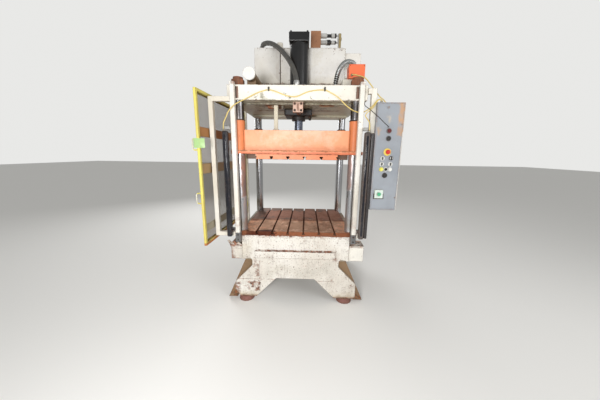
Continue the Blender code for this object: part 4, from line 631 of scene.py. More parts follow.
bolster_zones = [
    tint(228, 170, 134, y=(-0.1, 0.402), fray=[0.04, 0.16, 6]),
    tint(238, 200, 172, x=(-0.3, 0.44), y=(-0.02, 0.34), fray=[0.06, 0.62, 8]),
    tint(204, 160, 130, x=(-0.5, 0.48), y=(0.0, 0.4), fray=[0.05, 0.9, 12]),
    tint(116, 92, 80, y=(0.409, 1.1), fray=[0.05, 0.1, 6]),
    tint(156, 106, 84, x=(-0.45, 0.6), y=(0.42, 0.9), fray=[0.06, 0.7, 8]),
    tint(146, 92, 66, y=(-0.1, 0.004), z=(0.6, 0.8), fray=[0.002, 0.004]),
    tint(88, 46, 34, x=(-0.5, -0.2), y=(-0.1, 0.05), z=(0.6, 0.8), fray=[0.02, 0.34, 11]),
]
steel(
    "rusted bolster", (142, 92, 64), (120, 86, 68), 0.12, 0.44, "bolster", bolster_zones,
    (1, 0.6, 1),
)
PADS = "pad_front_left pad_front_right pad_rear_left pad_rear_right"
painted("pad paint", (142, 94, 84), (114, 74, 64), (0.8, 0.5, 0.1, 0.8, 0.6), PADS)

# %% [markdown]
# ## Columns and cylinder
# The columns and the rod are hard chrome. Oil has baked to a brown film where the ram seldom
# travels, and the front columns carry rust below it. Chrome mirrors what is round it, so it is
# kept a little grey and a little dull for a pale studio.

# %% Chrome, black cylinder and its fittings
FRONT_PAIR = (-0.1, 0.3)
column_zones = [
    tint(124, 121, 122, y=FRONT_PAIR, z=(1.76, 1.97), fray=[0.06, 0.1]),
    tint(124, 98, 84, z=(2.08, 2.4), fray=[0.002]),
    tint(150, 140, 128, z=(0.74, 0.9), fray=[0.1, 0.2]),
    tint(172, 150, 138, y=FRONT_PAIR, z=(1.975, 2.0795), fray=[0.004, 0.01]),
    rust(0.9, x=(-0.532, -0.4), y=FRONT_PAIR, z=(1.08, 1.5), fray=[0.02, 0.05, 9]),
    rust(0.5, x=(-0.515, -0.4), y=FRONT_PAIR, z=(0.74, 1.1), fray=[0.02, 0.05, 9]),
    rust(0.7, x=(0.4, 0.525), y=FRONT_PAIR, z=(1.16, 1.5), fray=[0.02, 0.05, 9]),
    rust(0.4, x=(0.4, 0.51), y=FRONT_PAIR, z=(0.74, 1.1), fray=[0.02, 0.05, 9]),
    rust(0.9, z=(2.084, 2.4), fray=[0.01, 0.08, 16]),
    rust(0.5, y=FRONT_PAIR, z=(1.975, 2.0795), fray=[0.01, 0.05, 16]),
]
COLUMNS = "column_front_left column_front_right column_rear_left column_rear_right"
steel(
    "column chrome", (182, 183, 186), (96, 84, 72), -0.10, 0.16, COLUMNS, column_zones,
    (1, 1, 0.25),
)
rod_zones = [
    tint(70, 58, 50, z=(1.7, 1.76), fray=[0.02, 0.03]),
]
steel("rod chrome", (128, 134, 148), (48, 46, 48), 0.04, 0.14, "piston_rod", rod_zones, (1, 1, 0.2))
steel("machined steel", (128, 128, 126), (92, 84, 74), 0.12, 0.34, "piston")
CYLINDER = "cylinder_barrel cylinder_cap"
painted(
    "black cylinder paint", (17, 18, 20), (30, 30, 31), (0.35, 0.04, 0.05, 0.16, 0.26),
    CYLINDER, chip=(76, 74, 70),
)
painted("gland paint", (44, 44, 47), (36, 36, 37), (0.7, 0.3, 0.1, 0.4, 0.4), "cylinder_gland")

# %% [markdown]
# ## Crown, ram and platen
# The crown is cream outside, and its underside has the glossy grey-brown of old oil. The ram is
# orange, and its flange is redder and greasier than the beam. The platen below it was never
# painted.

# %% Crown, ram and platen
UNDERSIDE, BELOW_SKIN, TOP_FACE = (1.9, 1.975), (1.9, 1.97), (2.0815, 2.2)
crown_zones = [
    tint(184, 181, 159, y=(0.0135, 0.96), z=UNDERSIDE),
    tint(126, 122, 94, x=(-0.46, 0.42), y=(0.02, 0.52), z=UNDERSIDE, fray=[0.05, 0.5, 6]),
    tint(202, 200, 172, x=(-0.4, 0.44), y=(0.2, 0.9), z=UNDERSIDE, fray=[0.05, 0.75, 12]),
    tint(94, 84, 62, x=(-0.44, 0.3), y=(0.05, 0.4), z=UNDERSIDE, fray=[0.03, 0.8, 16]),
    tint(186, 138, 92, x=(0.2, 0.34), y=(0.15, 0.24), z=UNDERSIDE, fray=[0.01, 0.1, 12]),
    tint(62, 60, 58, y=(0.97, 1.4)),
    tint(182, 174, 158, y=(0.006, 0.96), z=TOP_FACE, fray=[0.001]),
    tint(142, 132, 114, x=(-0.4, 0.4), y=(0.15, 0.8), z=TOP_FACE, fray=[0.1, 0.4, 4]),
    rust(1.0, x=(-0.34, -0.16), y=(0.15, 0.26), z=BELOW_SKIN, fray=[0.01, 0.09, 12]),
    rust(1.0, x=(0.2, 0.36), y=(0.15, 0.22), z=BELOW_SKIN, fray=[0.01, 0.09]),
    rust(0.8, x=(-0.46, 0.46), y=(0.44, 0.5), z=BELOW_SKIN, fray=[0.01, 0.12]),
    rust(0.9, y=(-0.1, 0.05), z=(2.081, 2.16), fray=[0.004, 0.03]),
]
painted(
    "crown paint", (244, 241, 232), (232, 226, 213), (0.55, 0.12, 0.08, 0.3, 0.3), "crown",
    crown_zones,
)
SLEEVES = (1.53, 1.8)
ram_zones = [
    tint(228, 124, 82, z=(1.4, 1.522), fray=[0.01, 0.02]),
    tint(222, 134, 90, z=(1.515, 1.58), fray=[0.05, 0.08]),
    tint(234, 136, 82, x=(-0.7, -0.472), z=SLEEVES, fray=[0.002]),
    tint(234, 136, 82, x=(0.472, 0.7), z=SLEEVES, fray=[0.002]),
    # A paler middle across the beam's front is a painted highlight.
    tint(246, 206, 176, x=(-0.34, 0.36), y=(-0.1, 0.1), z=(1.56, 1.82), fray=[0.12, 0.4, 9]),
    rust(0.9, y=(-0.1, 0.02), z=(1.49, 1.502), fray=[0.004, 0.016]),
    rust(0.6, y=(-0.1, 0.2), z=(1.519, 1.527), fray=[0.003, 0.014]),
    rust(0.9, y=(-0.1, 0.01), z=(1.516, 1.532), fray=[0.006, 0.045, 40]),
    rust(0.7, x=(-0.7, -0.57), z=(1.48, 1.53), fray=[0.01, 0.06]),
]
RAM_ORANGE, RAM_FADED, RAM_CHIP = (240, 174, 132), (236, 158, 114), (150, 92, 66)
ram_paint = painted(
    "ram paint", RAM_ORANGE, RAM_FADED, (0.6, 0.16, 0.1, 0.42, 0.4), "ram_frame", ram_zones,
    RAM_CHIP,
)
platen_zones = [
    tint(132, 98, 74, z=(1.4, 1.4495), fray=[0.001]),
    tint(120, 90, 70, y=(0.01, 2.0), z=(1.4, 1.4935), fray=[0.001]),
    tint(158, 138, 122, x=(-0.6, -0.36), y=(-0.2, 0.03), z=(1.44, 1.5), fray=[0.02, 0.05, 16]),
    rust(0.8, z=(1.446, 1.452), fray=[0.002, 0.01, 22]),
]
painted(
    "platen paint", (234, 146, 102), (222, 130, 88), (0.7, 0.3, 0.1, 0.5, 0.42), "ram_platen",
    platen_zones,
)
painted(
    "stop bar paint", (222, 214, 196), (190, 178, 154), (0.6, 0.2, 0.3, 0.4, 0.45),
    "ram_stop_bar",
)

# %% [markdown]
# ## Tank, pipework and power unit
# The tank on top is cream sheet with darker smudges low down. Hoses are rubber, the manifold is
# bare cast iron gone tan, and the cooler is a drum closed by a white disc, its drum coloured tan as
# painted shade of the same white paint.

# %% Tank, cooler, hoses, motor and pump
tank_zones = [
    tint(234, 228, 214, z=(2.08, 2.36), fray=[0.1, 0.2, 7]),
    tint(132, 122, 104, z=(2.08, 2.25), fray=[0.004]),
    tint(84, 72, 60, x=(-0.214, -0.204), y=(0.598, 0.61), fray=[0.001]),
    tint(214, 196, 180, x=(-0.262, -0.222), y=(0.58, 0.605), z=(2.3, 2.6), fray=[0.03, 0.05, 7]),
    tint(226, 214, 186, x=(0.12, 0.24), y=(0.58, 0.605), z=(2.36, 2.6), fray=[0.05, 0.14, 10]),
    rust(0.6, z=(2.24, 2.262), fray=[0.006, 0.03]),
]
TANK = "reservoir side_box"
tank_paint = painted(
    "tank paint", (250, 247, 242), (240, 235, 226), (0.5, 0.1, 0.1, 0.3, 0.42), TANK,
    tank_zones,
)
painted("breather paint", (242, 236, 222), None, (0.4, 0.1, 0.1, 0.5, 0.4), "filler_breather")
BLOCK_FACE = (0.0, 0.1)
port_zones = [
    tint(226, 188, 168, y=BLOCK_FACE, fray=[0.01, 0.03]),
    tint(140, 98, 78, x=(-0.006, 0.022), y=BLOCK_FACE, z=(1.88, 1.95), fray=[0.012, 0.03]),
]
painted(
    "port block paint", (140, 104, 84), (116, 84, 66), (0.8, 0.3, 0.1, 0.6, 0.4), "port_block",
    port_zones,
)
painted(
    "manifold iron", (178, 126, 90), (146, 100, 72), (0.5, 0.4, 0.1, 0.5, 0.55),
    "valve_manifold",
)
valve_low, valve_high = (np.array(corner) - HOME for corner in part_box("valve_cluster"))


def along_valves(start, end):
    """The range between two shares of the valves' length."""
    length = valve_high[0] - valve_low[0]
    return (valve_low[0] + start * length, valve_low[0] + end * length)


FITTINGS = (2.6, 2.9)
valve_zones = [
    tint(30, 30, 33, x=along_valves(0.3, 0.52), z=FITTINGS, fray=[0.003]),
    tint(170, 150, 104, x=along_valves(0.86, 1.1), fray=[0.003]),
    tint(40, 40, 44, x=along_valves(0.66, 0.76), z=FITTINGS, fray=[0.003]),
]
VALVE_PLATING, VALVE_FADED, VALVE_CHIP = (214, 214, 210), (150, 148, 144), (90, 90, 92)
painted(
    "valve plating", VALVE_PLATING, VALVE_FADED, (0.5, 0.1, 0.1, 0.7, 0.22), "valve_cluster",
    valve_zones, VALVE_CHIP,
)
drum_zones = [
    tint(242, 240, 234, y=(0.0, 0.056), fray=[0.002]),
]
# The drum is in the disc's white paint; its tan colour is painted shade.
painted(
    "cooler paint and painted shade", (150, 122, 92), (124, 100, 76), (0.6, 0.25, 0.1, 0.5, 0.42), "oil_cooler",
    drum_zones,
)
moulded("hose rubber", (80, 79, 76), 0.4, 0.36, "main_hose", grain=420.0)
moulded("conduit jacket", (54, 55, 58), 0.6, 0.34, "ribbed_conduit")
painted("motor paint", (120, 134, 150), None, (0.5, 0.2, 0.1, 0.7, 0.42), "motor")
steel("cast pump", (104, 104, 102), (74, 68, 60), 0.2, 0.46, "pump")
junction_paint = painted(
    "junction paint", (246, 120, 76), (228, 102, 64), (0.45, 0.08, 0.08, 0.35, 0.36),
    "junction_box", chip=(160, 90, 64),
)
painted("switch block paint", (226, 222, 208), None, (0.6, 0.2, 0.1, 0.7, 0.4), "switch_block")

# %% [markdown]
# ## Guarding
# Two white posts, two square-tube frames and a hinged door keep hands out. The door is yellow with
# bands of brown on it, the posts stand in grey shoes, and the light curtains are dark profiles.

# %% Posts, frames, curtains and door
post_zones = [
    tint(104, 104, 104, z=(0.6, 0.748), fray=[0.004]),
    tint(232, 225, 211, z=(0.74, 1.3), fray=[0.3, 0.2]),
    rust(0.7, z=(2.06, 2.2), fray=[0.02, 0.06]),
    rust(0.35, z=(0.76, 0.92), fray=[0.05, 0.12]),
]
POSTS = "guard_post_left guard_post_right"
painted(
    "post paint", (242, 239, 232), (230, 225, 214), (0.7, 0.12, 0.12, 0.35, 0.4), POSTS,
    post_zones,
)
TUBES = "side_frame_left side_frame_right door_post"
painted("guard tube paint", (238, 235, 226), (222, 214, 198), (0.55, 0.1, 0.12, 0.4, 0.38), TUBES)
PROFILE = (0.7, 1.69)
curtain_zones = [
    # The right curtain is lighter grey-brown, darker at its right side: painted reflection and
    # painted shade on a near-black profile like the left one.
    tint(86, 78, 74, x=(0.5, 0.8), z=PROFILE, fray=[0.002]),
    tint(54, 50, 50, x=(0.64, 0.8), z=PROFILE, fray=[0.002]),
    tint(176, 176, 172, z=(1.69, 1.9), fray=[0.002]),
]
CURTAINS = "light_curtain_left light_curtain_right"
# The pale chips along the curtains' edges are partly scuffs and partly painted highlight.
CURTAIN_CHIP_AND_GLINT = (120, 118, 116)
painted(
    "curtain paint", (22, 24, 32), (30, 31, 38), (0.7, 0.02, 0.03, 0.14, 0.16), CURTAINS,
    curtain_zones, CURTAIN_CHIP_AND_GLINT,
)
ON_PANEL = dict(y=(-0.188, 0.905), fray=[0.003, 0.002])
door_zones = [
    tint(196, 134, 74, z=(1.632, 1.714), **ON_PANEL),
    tint(186, 150, 104, z=(1.32, 1.41), **ON_PANEL),
    tint(176, 166, 142, z=(0.796, 0.87), **ON_PANEL),
    tint(204, 128, 66, z=(0.6, 0.704), fray=[0.006, 0.02]),
    tint(232, 228, 206, x=(-0.9, -0.842), fray=[0.004]),
]
painted(
    "door paint", (234, 222, 112), (218, 202, 104), (0.6, 0.1, 0.14, 0.4, 0.4), "door_frame",
    door_zones,
)

# %% [markdown]
# ## Console and cables
# The console is blue-grey enamel, scuffed to bare tan along the upper right where people lean
# past it. Each control keeps its own colour, and the cables are a dirty yellow.

# %% Console, controls and cables
console_zones = [
    tint(192, 154, 122, x=(0.866, 0.95), y=(-0.06, -0.02), z=(1.66, 1.95), fray=[0.014, 0.06, 13]),
    tint(190, 164, 138, x=(0.694, 0.734), z=(1.665, 1.74), fray=[0.02, 0.08, 22]),
    tint(184, 176, 164, x=(0.78, 0.82), z=(1.76, 1.84), fray=[0.02, 0.1, 26]),
    tint(214, 212, 206, x=(0.914, 0.93), y=(-0.06, -0.047), z=(1.0, 1.7), fray=[0.003, 0.008]),
    tint(212, 226, 216, x=(0.714, 0.796), y=(-0.09, -0.0505), z=(1.11, 1.194), fray=[0.0005]),
]
ENAMEL, ENAMEL_FADED, ENAMEL_CHIP = (154, 159, 166), (142, 147, 154), (190, 150, 112)
console_paint = painted(
    "console enamel", ENAMEL, ENAMEL_FADED, (0.6, 0.1, 0.08, 0.34, 0.38), "console",
    console_zones, ENAMEL_CHIP,
)
BLACK = (36, 36, 38)
YELLOW = (236, 228, 104)
CONTROL_COLOURS = {
    "push_dark_red": (98, 40, 40),
    "push_black_upper": (34, 34, 36),
    "emergency_stop": (206, 52, 44),
    "selector_upper_left": BLACK,
    "selector_upper_right": BLACK,
    "selector_lower_left": BLACK,
    "selector_lower_right": BLACK,
    "push_yellow": YELLOW,
    "push_black": BLACK,
    "push_white": (226, 226, 220),
    "selector_round": (44, 44, 46),
    "start_green": (84, 172, 128),
}
SELECTOR_DISC = (230, 230, 226)
BAR_HALF = 0.0058
for control, colour in CONTROL_COLOURS.items():
    bar = []
    if control.startswith("selector") and control != "selector_round":
        across = centre_of(control)[0] - HOME[0]
        bar = [tint(*colour, x=(across - BAR_HALF, across + BAR_HALF), fray=[0.0003])]
        colour = SELECTOR_DISC
    moulded(control + " plastic", colour, 0.25, 0.3, control, bar)
YELLOW_CABLES = "cable_curtain_left cable_curtain_right cable_junction"
moulded("yellow jacket", (228, 202, 120), 0.35, 0.42, YELLOW_CABLES)
moulded("dark jacket", (54, 52, 50), 0.3, 0.4, "cable_thin")

# %% [markdown]
# ## Surfaces from arrays
# Every new piece is rows of points. A row is a closed loop, such as a circle or a rounded
# rectangle, and each row joins the next with four-sided faces. The two end rows are closed by a
# cap, or joined to each other where the piece is a ring.

# %% Rows of points to a piece
FACINGS = {
    "up": ((1, 0, 0), (0, 1, 0), (0, 0, 1)),
    "down": ((1, 0, 0), (0, -1, 0), (0, 0, -1)),
    "front": ((1, 0, 0), (0, 0, 1), (0, -1, 0)),
    "left": ((0, -1, 0), (0, 0, 1), (-1, 0, 0)),
}


def skin(rows, ring=False):
    """Points and faces of an array of rows by points by 3. Point j of row i meets its neighbour in
    the row and both in row i + 1. A ring joins the last row to the first and needs no caps."""
    count, around = rows.shape[:2]
    index = np.arange(count * around).reshape(count, around)
    below, above = (index, np.roll(index, -1, axis=0)) if ring else (index[:-1], index[1:])
    corners = [below, np.roll(below, -1, axis=1), np.roll(above, -1, axis=1), above]
    quads = np.stack(corners, axis=-1)
    faces = quads.reshape(-1, 4).tolist()
    if not ring:
        faces += [index[0][::-1].tolist(), index[-1].tolist()]
    return rows.reshape(-1, 3), faces


def together(shapes):
    """Several shapes as one: the points one after another, and each shape's faces moved on by the
    number of points before it."""
    faces, start = [], 0
    for points, own_faces in shapes:
        faces += [[corner + start for corner in face] for face in own_faces]
        start += len(points)
    return np.concatenate([points for points, _ in shapes]), faces


def stood(shape, place, facing="up"):
    """A shape drawn flat with its height along its third axis, turned to face a way and moved to a
    place: the sum of each coordinate times its new axis, plus the place."""
    return shape[0] @ np.array(FACINGS[facing], dtype=float) + np.asarray(place), shape[1]


def piece(name, shapes, finish, body, smooth_below=40):
    """A finished piece at the origin, with faces outwards, smooth where its faces meet at less than
    the given angle. It carries its finish and rides on a body."""
    points, faces = together(shapes)
    mesh = bpy.data.meshes.new(name)
    mesh.from_pydata(points.tolist(), [], faces)
    working = bmesh.new()
    working.from_mesh(mesh)
    bmesh.ops.recalc_face_normals(working, faces=working.faces)
    working.to_mesh(mesh)
    working.free()
    mesh.polygons.foreach_set("use_smooth", np.ones(len(mesh.polygons), dtype=bool))
    mesh.set_sharp_from_angle(angle=math.radians(smooth_below))
    mesh.materials.append(finish)
    made = bpy.data.objects.new(name, mesh)
    bpy.context.scene.collection.objects.link(made)
    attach(made, body)
    print(name, "faces:", len(mesh.polygons), "on", body)
    return made


def turned(profile, steps=24, ring=False):
    """A profile of radius and height spun about the upright axis: each point goes to radius times
    cosine, radius times sine, height."""
    radius, height = np.array(profile, dtype=float).T
    angle = np.linspace(0, 2 * math.pi, steps, endpoint=False)
    sweep = [np.outer(radius, np.cos(angle)), np.outer(radius, np.sin(angle))]
    return skin(np.stack([*sweep, np.outer(height, np.ones(steps))], axis=-1), ring)


CORNER_STEPS = 5


def slab(half_across, half_up, corner, profile, ring=False):
    """A plate with rounded corners: a quarter circle about each corner's centre, whose radius is
    the corner less the profile's inset, at the profile's height."""
    inset, height = np.array(profile, dtype=float).T[:, :, None]
    quarter = np.linspace(0, math.pi / 2, CORNER_STEPS)
    angle = (quarter[None, :] + math.pi / 2 * np.arange(4)[:, None]).ravel()
    signs = np.repeat(np.array([[1, 1], [-1, 1], [-1, -1], [1, -1]]), CORNER_STEPS, axis=0)
    across, up = (signs * np.array([half_across - corner, half_up - corner])).T
    reach = corner - inset
    outline = [across + reach * np.cos(angle), up + reach * np.sin(angle)]
    return skin(np.stack([*outline, height + 0 * angle], axis=-1), ring)


def carried(path, radius, sides=12, across=(1, 0, 0)):
    """Circles carried along a path: the slope is the step between neighbours, and each circle lies
    in the two directions square to it, the first of them also square to the direction across."""
    path = np.asarray(path, dtype=float)
    slope = np.gradient(path, axis=0)
    slope /= np.linalg.norm(slope, axis=1, keepdims=True)
    aside = np.cross(slope, across)
    aside /= np.linalg.norm(aside, axis=1, keepdims=True)
    lift = np.cross(aside, slope)
    angle = np.linspace(0, 2 * math.pi, sides, endpoint=False)[None, :, None]
    circle = aside[:, None] * np.cos(angle) + lift[:, None] * np.sin(angle)
    reach = np.broadcast_to(np.asarray(radius, dtype=float).reshape(-1, 1, 1), (len(path), 1, 1))
    return skin(path[:, None] + reach * circle)


CUTS_PER_SPAN = 24


def smooth_path(knots, step):
    """A curve through knots, cut into even steps, and the length at each. Each span is the cubic
    that meets both its knots with slopes half the step between the knots on either side."""
    knots = np.asarray(knots, dtype=float)
    slopes = np.gradient(knots, axis=0)
    t = np.linspace(0, 1, CUTS_PER_SPAN, endpoint=False)[None, :, None]
    near, far = knots[:-1, None], knots[1:, None]
    leave, arrive = slopes[:-1, None], slopes[1:, None]
    curve = (2 * t**3 - 3 * t**2 + 1) * near + (t**3 - 2 * t**2 + t) * leave
    curve = curve + (3 * t**2 - 2 * t**3) * far + (t**3 - t**2) * arrive
    curve = np.concatenate([curve.reshape(-1, 3), knots[-1:]])
    length = np.concatenate([[0], np.cumsum(np.linalg.norm(np.diff(curve, axis=0), axis=1))])
    even = np.linspace(0, length[-1], int(length[-1] / step) + 2)
    return np.stack([np.interp(even, length, curve[:, axis]) for axis in range(3)], axis=-1), even


def hexagon(radius, height):
    """A bolt's head: six sides, with its upper edge drawn in."""
    return turned([(radius, -0.001), (radius, height * 0.75), (radius * 0.84, height)], 6)


def screw(radius, height):
    """A round-headed screw: its profile goes from the sunk floor of its centre over the rim."""
    profile = [(radius * 0.45, height * 0.4), (radius * 0.5, height), (radius * 0.85, height)]
    return turned(profile + [(radius, height * 0.7), (radius, -0.001)], 14)


RIPPLE = 0.012


def bead(start, end, size):
    """A weld bead: circles along a line, whose radius swells by a tenth once every ripple."""
    start, end = np.array(start), np.array(end)
    length = float(np.linalg.norm(end - start))
    share = np.linspace(0, 1, int(length / 0.005) + 2)
    radius = size * (1 + 0.10 * np.cos(2 * math.pi * share * length / RIPPLE))
    across = (0, 0, 1) if abs(end[2] - start[2]) < length / 2 else (1, 0, 0)
    return carried(start + (end - start) * share[:, None], radius, 8, across)


def front(shape, x, y, z):
    """A shape that faces the front, at a place measured from the crown's front middle."""
    return stood(shape, home(x, y, z), "front")


print("surface helpers ready")

# %% [markdown]
# ## Expanded metal on the door
# The guard door is skinned with expanded metal: a slit sheet pulled open into diamonds. The solid
# stands for it with coarse bars. The real thing is a stack of zigzag strands that touch at their
# tips, so one wave formula gives all of them at once.

# %% The door's expanded metal
DOOR_AXIS = home(-0.7165, 0.945, 0.0)
STRAND_RISE = 0.0105
STRAND_STEP = 0.0115
STRAND_WIDTH = 0.0044
STRAND_DEPTH = 0.0028

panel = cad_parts["door_mesh"].data
panel_points = np.empty(len(panel.vertices) * 3)
panel.vertices.foreach_get("co", panel_points)
door_turn = np.array(Matrix.Rotation(math.radians(-4), 3, "Z"))
panel_points = (panel_points.reshape(-1, 3) - DOOR_AXIS) @ door_turn
panel_low, panel_high = panel_points.min(axis=0), panel_points.max(axis=0)


def hung(shape):
    """A shape drawn square to the hinge, turned with the door about its axis."""
    return shape[0] @ door_turn.T + DOOR_AXIS, shape[1]


def expanded_metal(low, high):
    """Strand i at step k stands at height i plus half times (-1) to the power i + k, in rises, so
    each tip meets the next strand's. Round every point goes a flat four-cornered section."""
    strands = int((high[2] - low[2] - STRAND_WIDTH) / STRAND_RISE)
    steps = int((high[1] - low[1]) / STRAND_STEP) + 1
    i, k = np.meshgrid(np.arange(strands), np.arange(steps), indexing="ij")
    wave = (i + 0.5 + 0.5 * np.where((i + k) % 2 == 0, 1.0, -1.0)) * STRAND_RISE
    along = low[1] + (high[1] - low[1]) * k / (steps - 1)
    stretch = (high[2] - low[2] - STRAND_WIDTH) / (strands * STRAND_RISE)
    up = low[2] + STRAND_WIDTH / 2 + wave * stretch
    across = np.full(wave.shape, (low[0] + high[0]) / 2)
    middle = np.stack([across, along, up], axis=-1)[:, :, None, :]
    section = np.array([[-1, 0, -0.6], [1, 0, -1], [1, 0, 0.6], [-1, 0, 1]])
    section = section * np.array([STRAND_DEPTH / 2, 0, STRAND_WIDTH / 2])
    return together([skin(strand) for strand in middle + section])


mesh_paint = painted("expanded metal paint", (124, 96, 60), (98, 76, 48), (0.3, 0.4, 0.1, 0.5, 0.5))
mesh_shape = hung(expanded_metal(panel_low, panel_high))
door_skin = piece(
    "door_expanded_metal", [mesh_shape], mesh_paint, "guard_door", smooth_below=20
)
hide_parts("door_mesh")

# %% [markdown]
# ## Rings round the controls
# Each control sits in a bright ring, and the stop button in a broad yellow one. A ring is a small
# closed profile spun round the control's own centre, set over the raised edge of the console.

# %% Control rings and stop ring
CONSOLE_FRONT = -0.050
RING_PROFILE = [
    (0.0002, 0.0), (0.0002, 0.0058), (0.0012, 0.0066), (0.0046, 0.0058), (0.0056, 0.0),
    (0.0030, -0.0006),
]
RING_COLOURS = {
    "push_dark_red": (124, 118, 114),
    "push_black_upper": (92, 94, 96),
    "selector_upper_right": (48, 48, 50),
    "push_yellow": YELLOW,
    "selector_round": (40, 41, 43),
}
WELL_RADII = {"push_dark_red": 0.0165, "push_black_upper": 0.0165, "selector_round": 0.0170}
SMALL_WELL = 0.0125
RING_GAP = 0.0005
RING_REACH = 0.0065


def on_console(shape, control):
    """A shape on the console's face, round the middle of a control."""
    across, _, height = centre_of(control) - HOME
    return front(shape, across, CONSOLE_FRONT, height)


def round_control(control):
    """A zone that takes in one control's ring: its middle, and as far out as the ring goes."""
    across, _, height = centre_of(control) - HOME
    half = WELL_RADII.get(control, SMALL_WELL) + RING_REACH
    return dict(x=(across - half, across + half), z=(height - half, height + half), fray=[0.0005])


ring_zones = [tint(*colour, **round_control(control)) for control, colour in RING_COLOURS.items()]
ring_finish = moulded("ring legend white", (232, 232, 226), 0.25, 0.3, zones=ring_zones)
rings = []
for control in CONTROL_COLOURS:
    if control in ("emergency_stop", "start_green"):
        continue
    inner = WELL_RADII.get(control, SMALL_WELL) + RING_GAP
    profile = [(inner + out, rise) for out, rise in RING_PROFILE]
    rings.append(on_console(turned(profile, 32, ring=True), control))
piece("control_rings", rings, ring_finish, "press")

STOP_PROFILE = [
    (0.0140, 0.0), (0.0140, 0.0058), (0.0150, 0.0072), (0.0280, 0.0072), (0.0315, 0.0050),
    (0.0315, 0.0), (0.02, -0.0006),
]
stop_ring = on_console(turned(STOP_PROFILE, 40, ring=True), "emergency_stop")
stop_finish = moulded("stop yellow", (238, 210, 92), 0.25, 0.34)
piece("stop_ring", [stop_ring], stop_finish, "press")

# %% [markdown]
# ## Clips and tag
# Two dark clips hold the cable to the crown, and a blank green tag hangs on the door's near bar.
# Each is a rounded plate with a rolled edge, the cheapest shape that catches light as sheet does.

# %% Cable clips and the blank tag
CLIP_EDGE = [(0.0, -0.001), (0.0, 0.010), (0.0015, 0.012), (0.004, 0.0125)]
clips = [front(slab(0.007, 0.017, 0.0045, CLIP_EDGE), x, 0.0, 2.048) for x in (-0.244, 0.241)]
clip_finish = moulded("clip plastic", (42, 38, 34), 0.35, 0.42)
piece("crown_clips", clips, clip_finish, "press")

TAG_EDGE = [(0.0, 0.0), (0.0, 0.0006), (0.0003, 0.0008)]
TAG_THICK = 0.0009
tag_place = (home(-0.7885, 0, 0)[0], cad_box[0][1] + TAG_THICK, 1.578)
tag = stood(slab(0.0465, 0.039, 0.006, TAG_EDGE), tag_place, "front")
tag_finish = moulded("tag plastic", (172, 208, 140), 0.30, 0.40)
piece("door_tag", [tag], tag_finish, "guard_door")

# %% [markdown]
# ## A ribbed conduit
# The conduit beside the tank is a ribbed metal jacket. The solid is a smooth tube of the same
# reach, so the visible one follows the same route with a radius that waves once every rib. The same
# wave is stored on the points, and the finish reads it to paint a highlight on the crests and shade
# in the valleys.

# %% The ribbed conduit
CONDUIT_ROUTE = [
    (0.360, 0.262, 2.135), (0.360, 0.262, 2.170), (0.372, 0.275, 2.232),
    (0.390, 0.310, 2.290), (0.420, 0.360, 2.350), (0.460, 0.425, 2.404),
    (0.508, 0.495, 2.440), (0.560, 0.570, 2.458), (0.585, 0.615, 2.460),
    (0.585, 0.6497, 2.460),
]
RIB_PITCH = 0.019
RIB_HALF = 0.0045
CONDUIT_RADIUS = 0.0195
CONDUIT_SIDES = 20
conduit_path, conduit_length = smooth_path(CONDUIT_ROUTE, RIB_PITCH / 8)
rib_wave = np.cos(2 * math.pi * conduit_length / RIB_PITCH)


def rib_highlight_and_shade(tree):
    """Painted shade in the valleys and a painted highlight on the crests, by the rib value that
    every point carries.
    """
    rib = signal(tree, "ShaderNodeAttribute", output="Fac", attribute_name="rib")
    return blend(rib, tone(34, 34, 36), tone(206, 208, 206))


conduit_levels = {"Metal": rib_highlight_and_shade, "Stain": tone(52, 50, 50), "Rusting": 0.0, "Polish": 0.3}
conduit_finish = coat("conduit jacket metal", METAL, "", conduit_levels)
ribs = carried(conduit_path + HOME, CONDUIT_RADIUS + RIB_HALF * rib_wave, CONDUIT_SIDES)
conduit = piece("conduit_ribs", [ribs], conduit_finish, "press", smooth_below=60)
rib_light_values = conduit.data.attributes.new("rib", "FLOAT", "POINT")
rib_light_values.data.foreach_set("value", np.repeat((rib_wave + 1) / 2, CONDUIT_SIDES))
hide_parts("ribbed_conduit")

# %% [markdown]
# ## Tank sheets, lid and the trays of the bed
# The tank's front is two sheets with a dark seam between them, and a flanged lid closes its top.
# The boxes at the bed's corners have flared lips, bent by years of knocks. All are rounded
# rectangles with small profiles: closed ones for the lips and the lid's rim.

# %% Sheets, rim and lips
SHEET = [(0.0, -0.001), (0.0, 0.0018), (0.0010, 0.0026)]
sheets = [
    front(slab(half, 0.1725, 0.003, SHEET), across, 0.600, 2.4305)
    for across, half in ((-0.3505, 0.1365), (0.1415, 0.3455))
]
piece("tank_front_sheets", sheets, tank_paint, "press")



def flange(width, shoulder, height, slope):
    """A closed profile that rises straight to its shoulder on both sides and slopes to its top."""
    side = [(0.0, -0.001), (0.0, shoulder), (slope, height)]
    return side + [(width - inset, rise) for inset, rise in side[::-1]]


RIM = flange(0.0245, 0.0025, 0.0032, 0.0010)
rim_bolts = [(x, y) for x in np.linspace(-0.455, 0.455, 8) for y in (0.6125, 0.9495)]
rim_bolts += [(x, y) for x in (-0.4785, 0.4785) for y in np.linspace(0.650, 0.912, 3)]
rim = [stood(slab(0.491, 0.181, 0.026, RIM, ring=True), home(0, 0.781, 2.608))]
rim += [stood(hexagon(0.006, 0.004), home(x, y, 2.6112)) for x, y in rim_bolts]
piece("tank_lid_rim", rim, tank_paint, "press")

LIP = [(0.0040, -0.002), (0.0, -0.002), (-0.0035, 0.012), (-0.0015, 0.0135), (0.0040, 0.001)]
lips = [
    stood(slab(half, 0.0745, 0.008, LIP, ring=True), home(across, back, 0.594))
    for across, half in ((0.605, 0.0725), (-0.591, 0.0585))
    for back in (0.1015, 0.8645)
]
piece("wing_lips", lips, box_paint, "press")

# %% [markdown]
# ## A torn sheet at the left corner
# Something heavy has ripped the skin of the left front box and curled it up and out. The sheet is
# a grid of heights by widths: its curl grows with the square of the height and dies off towards
# the right, and its torn edge is a line through a few uneven knots.

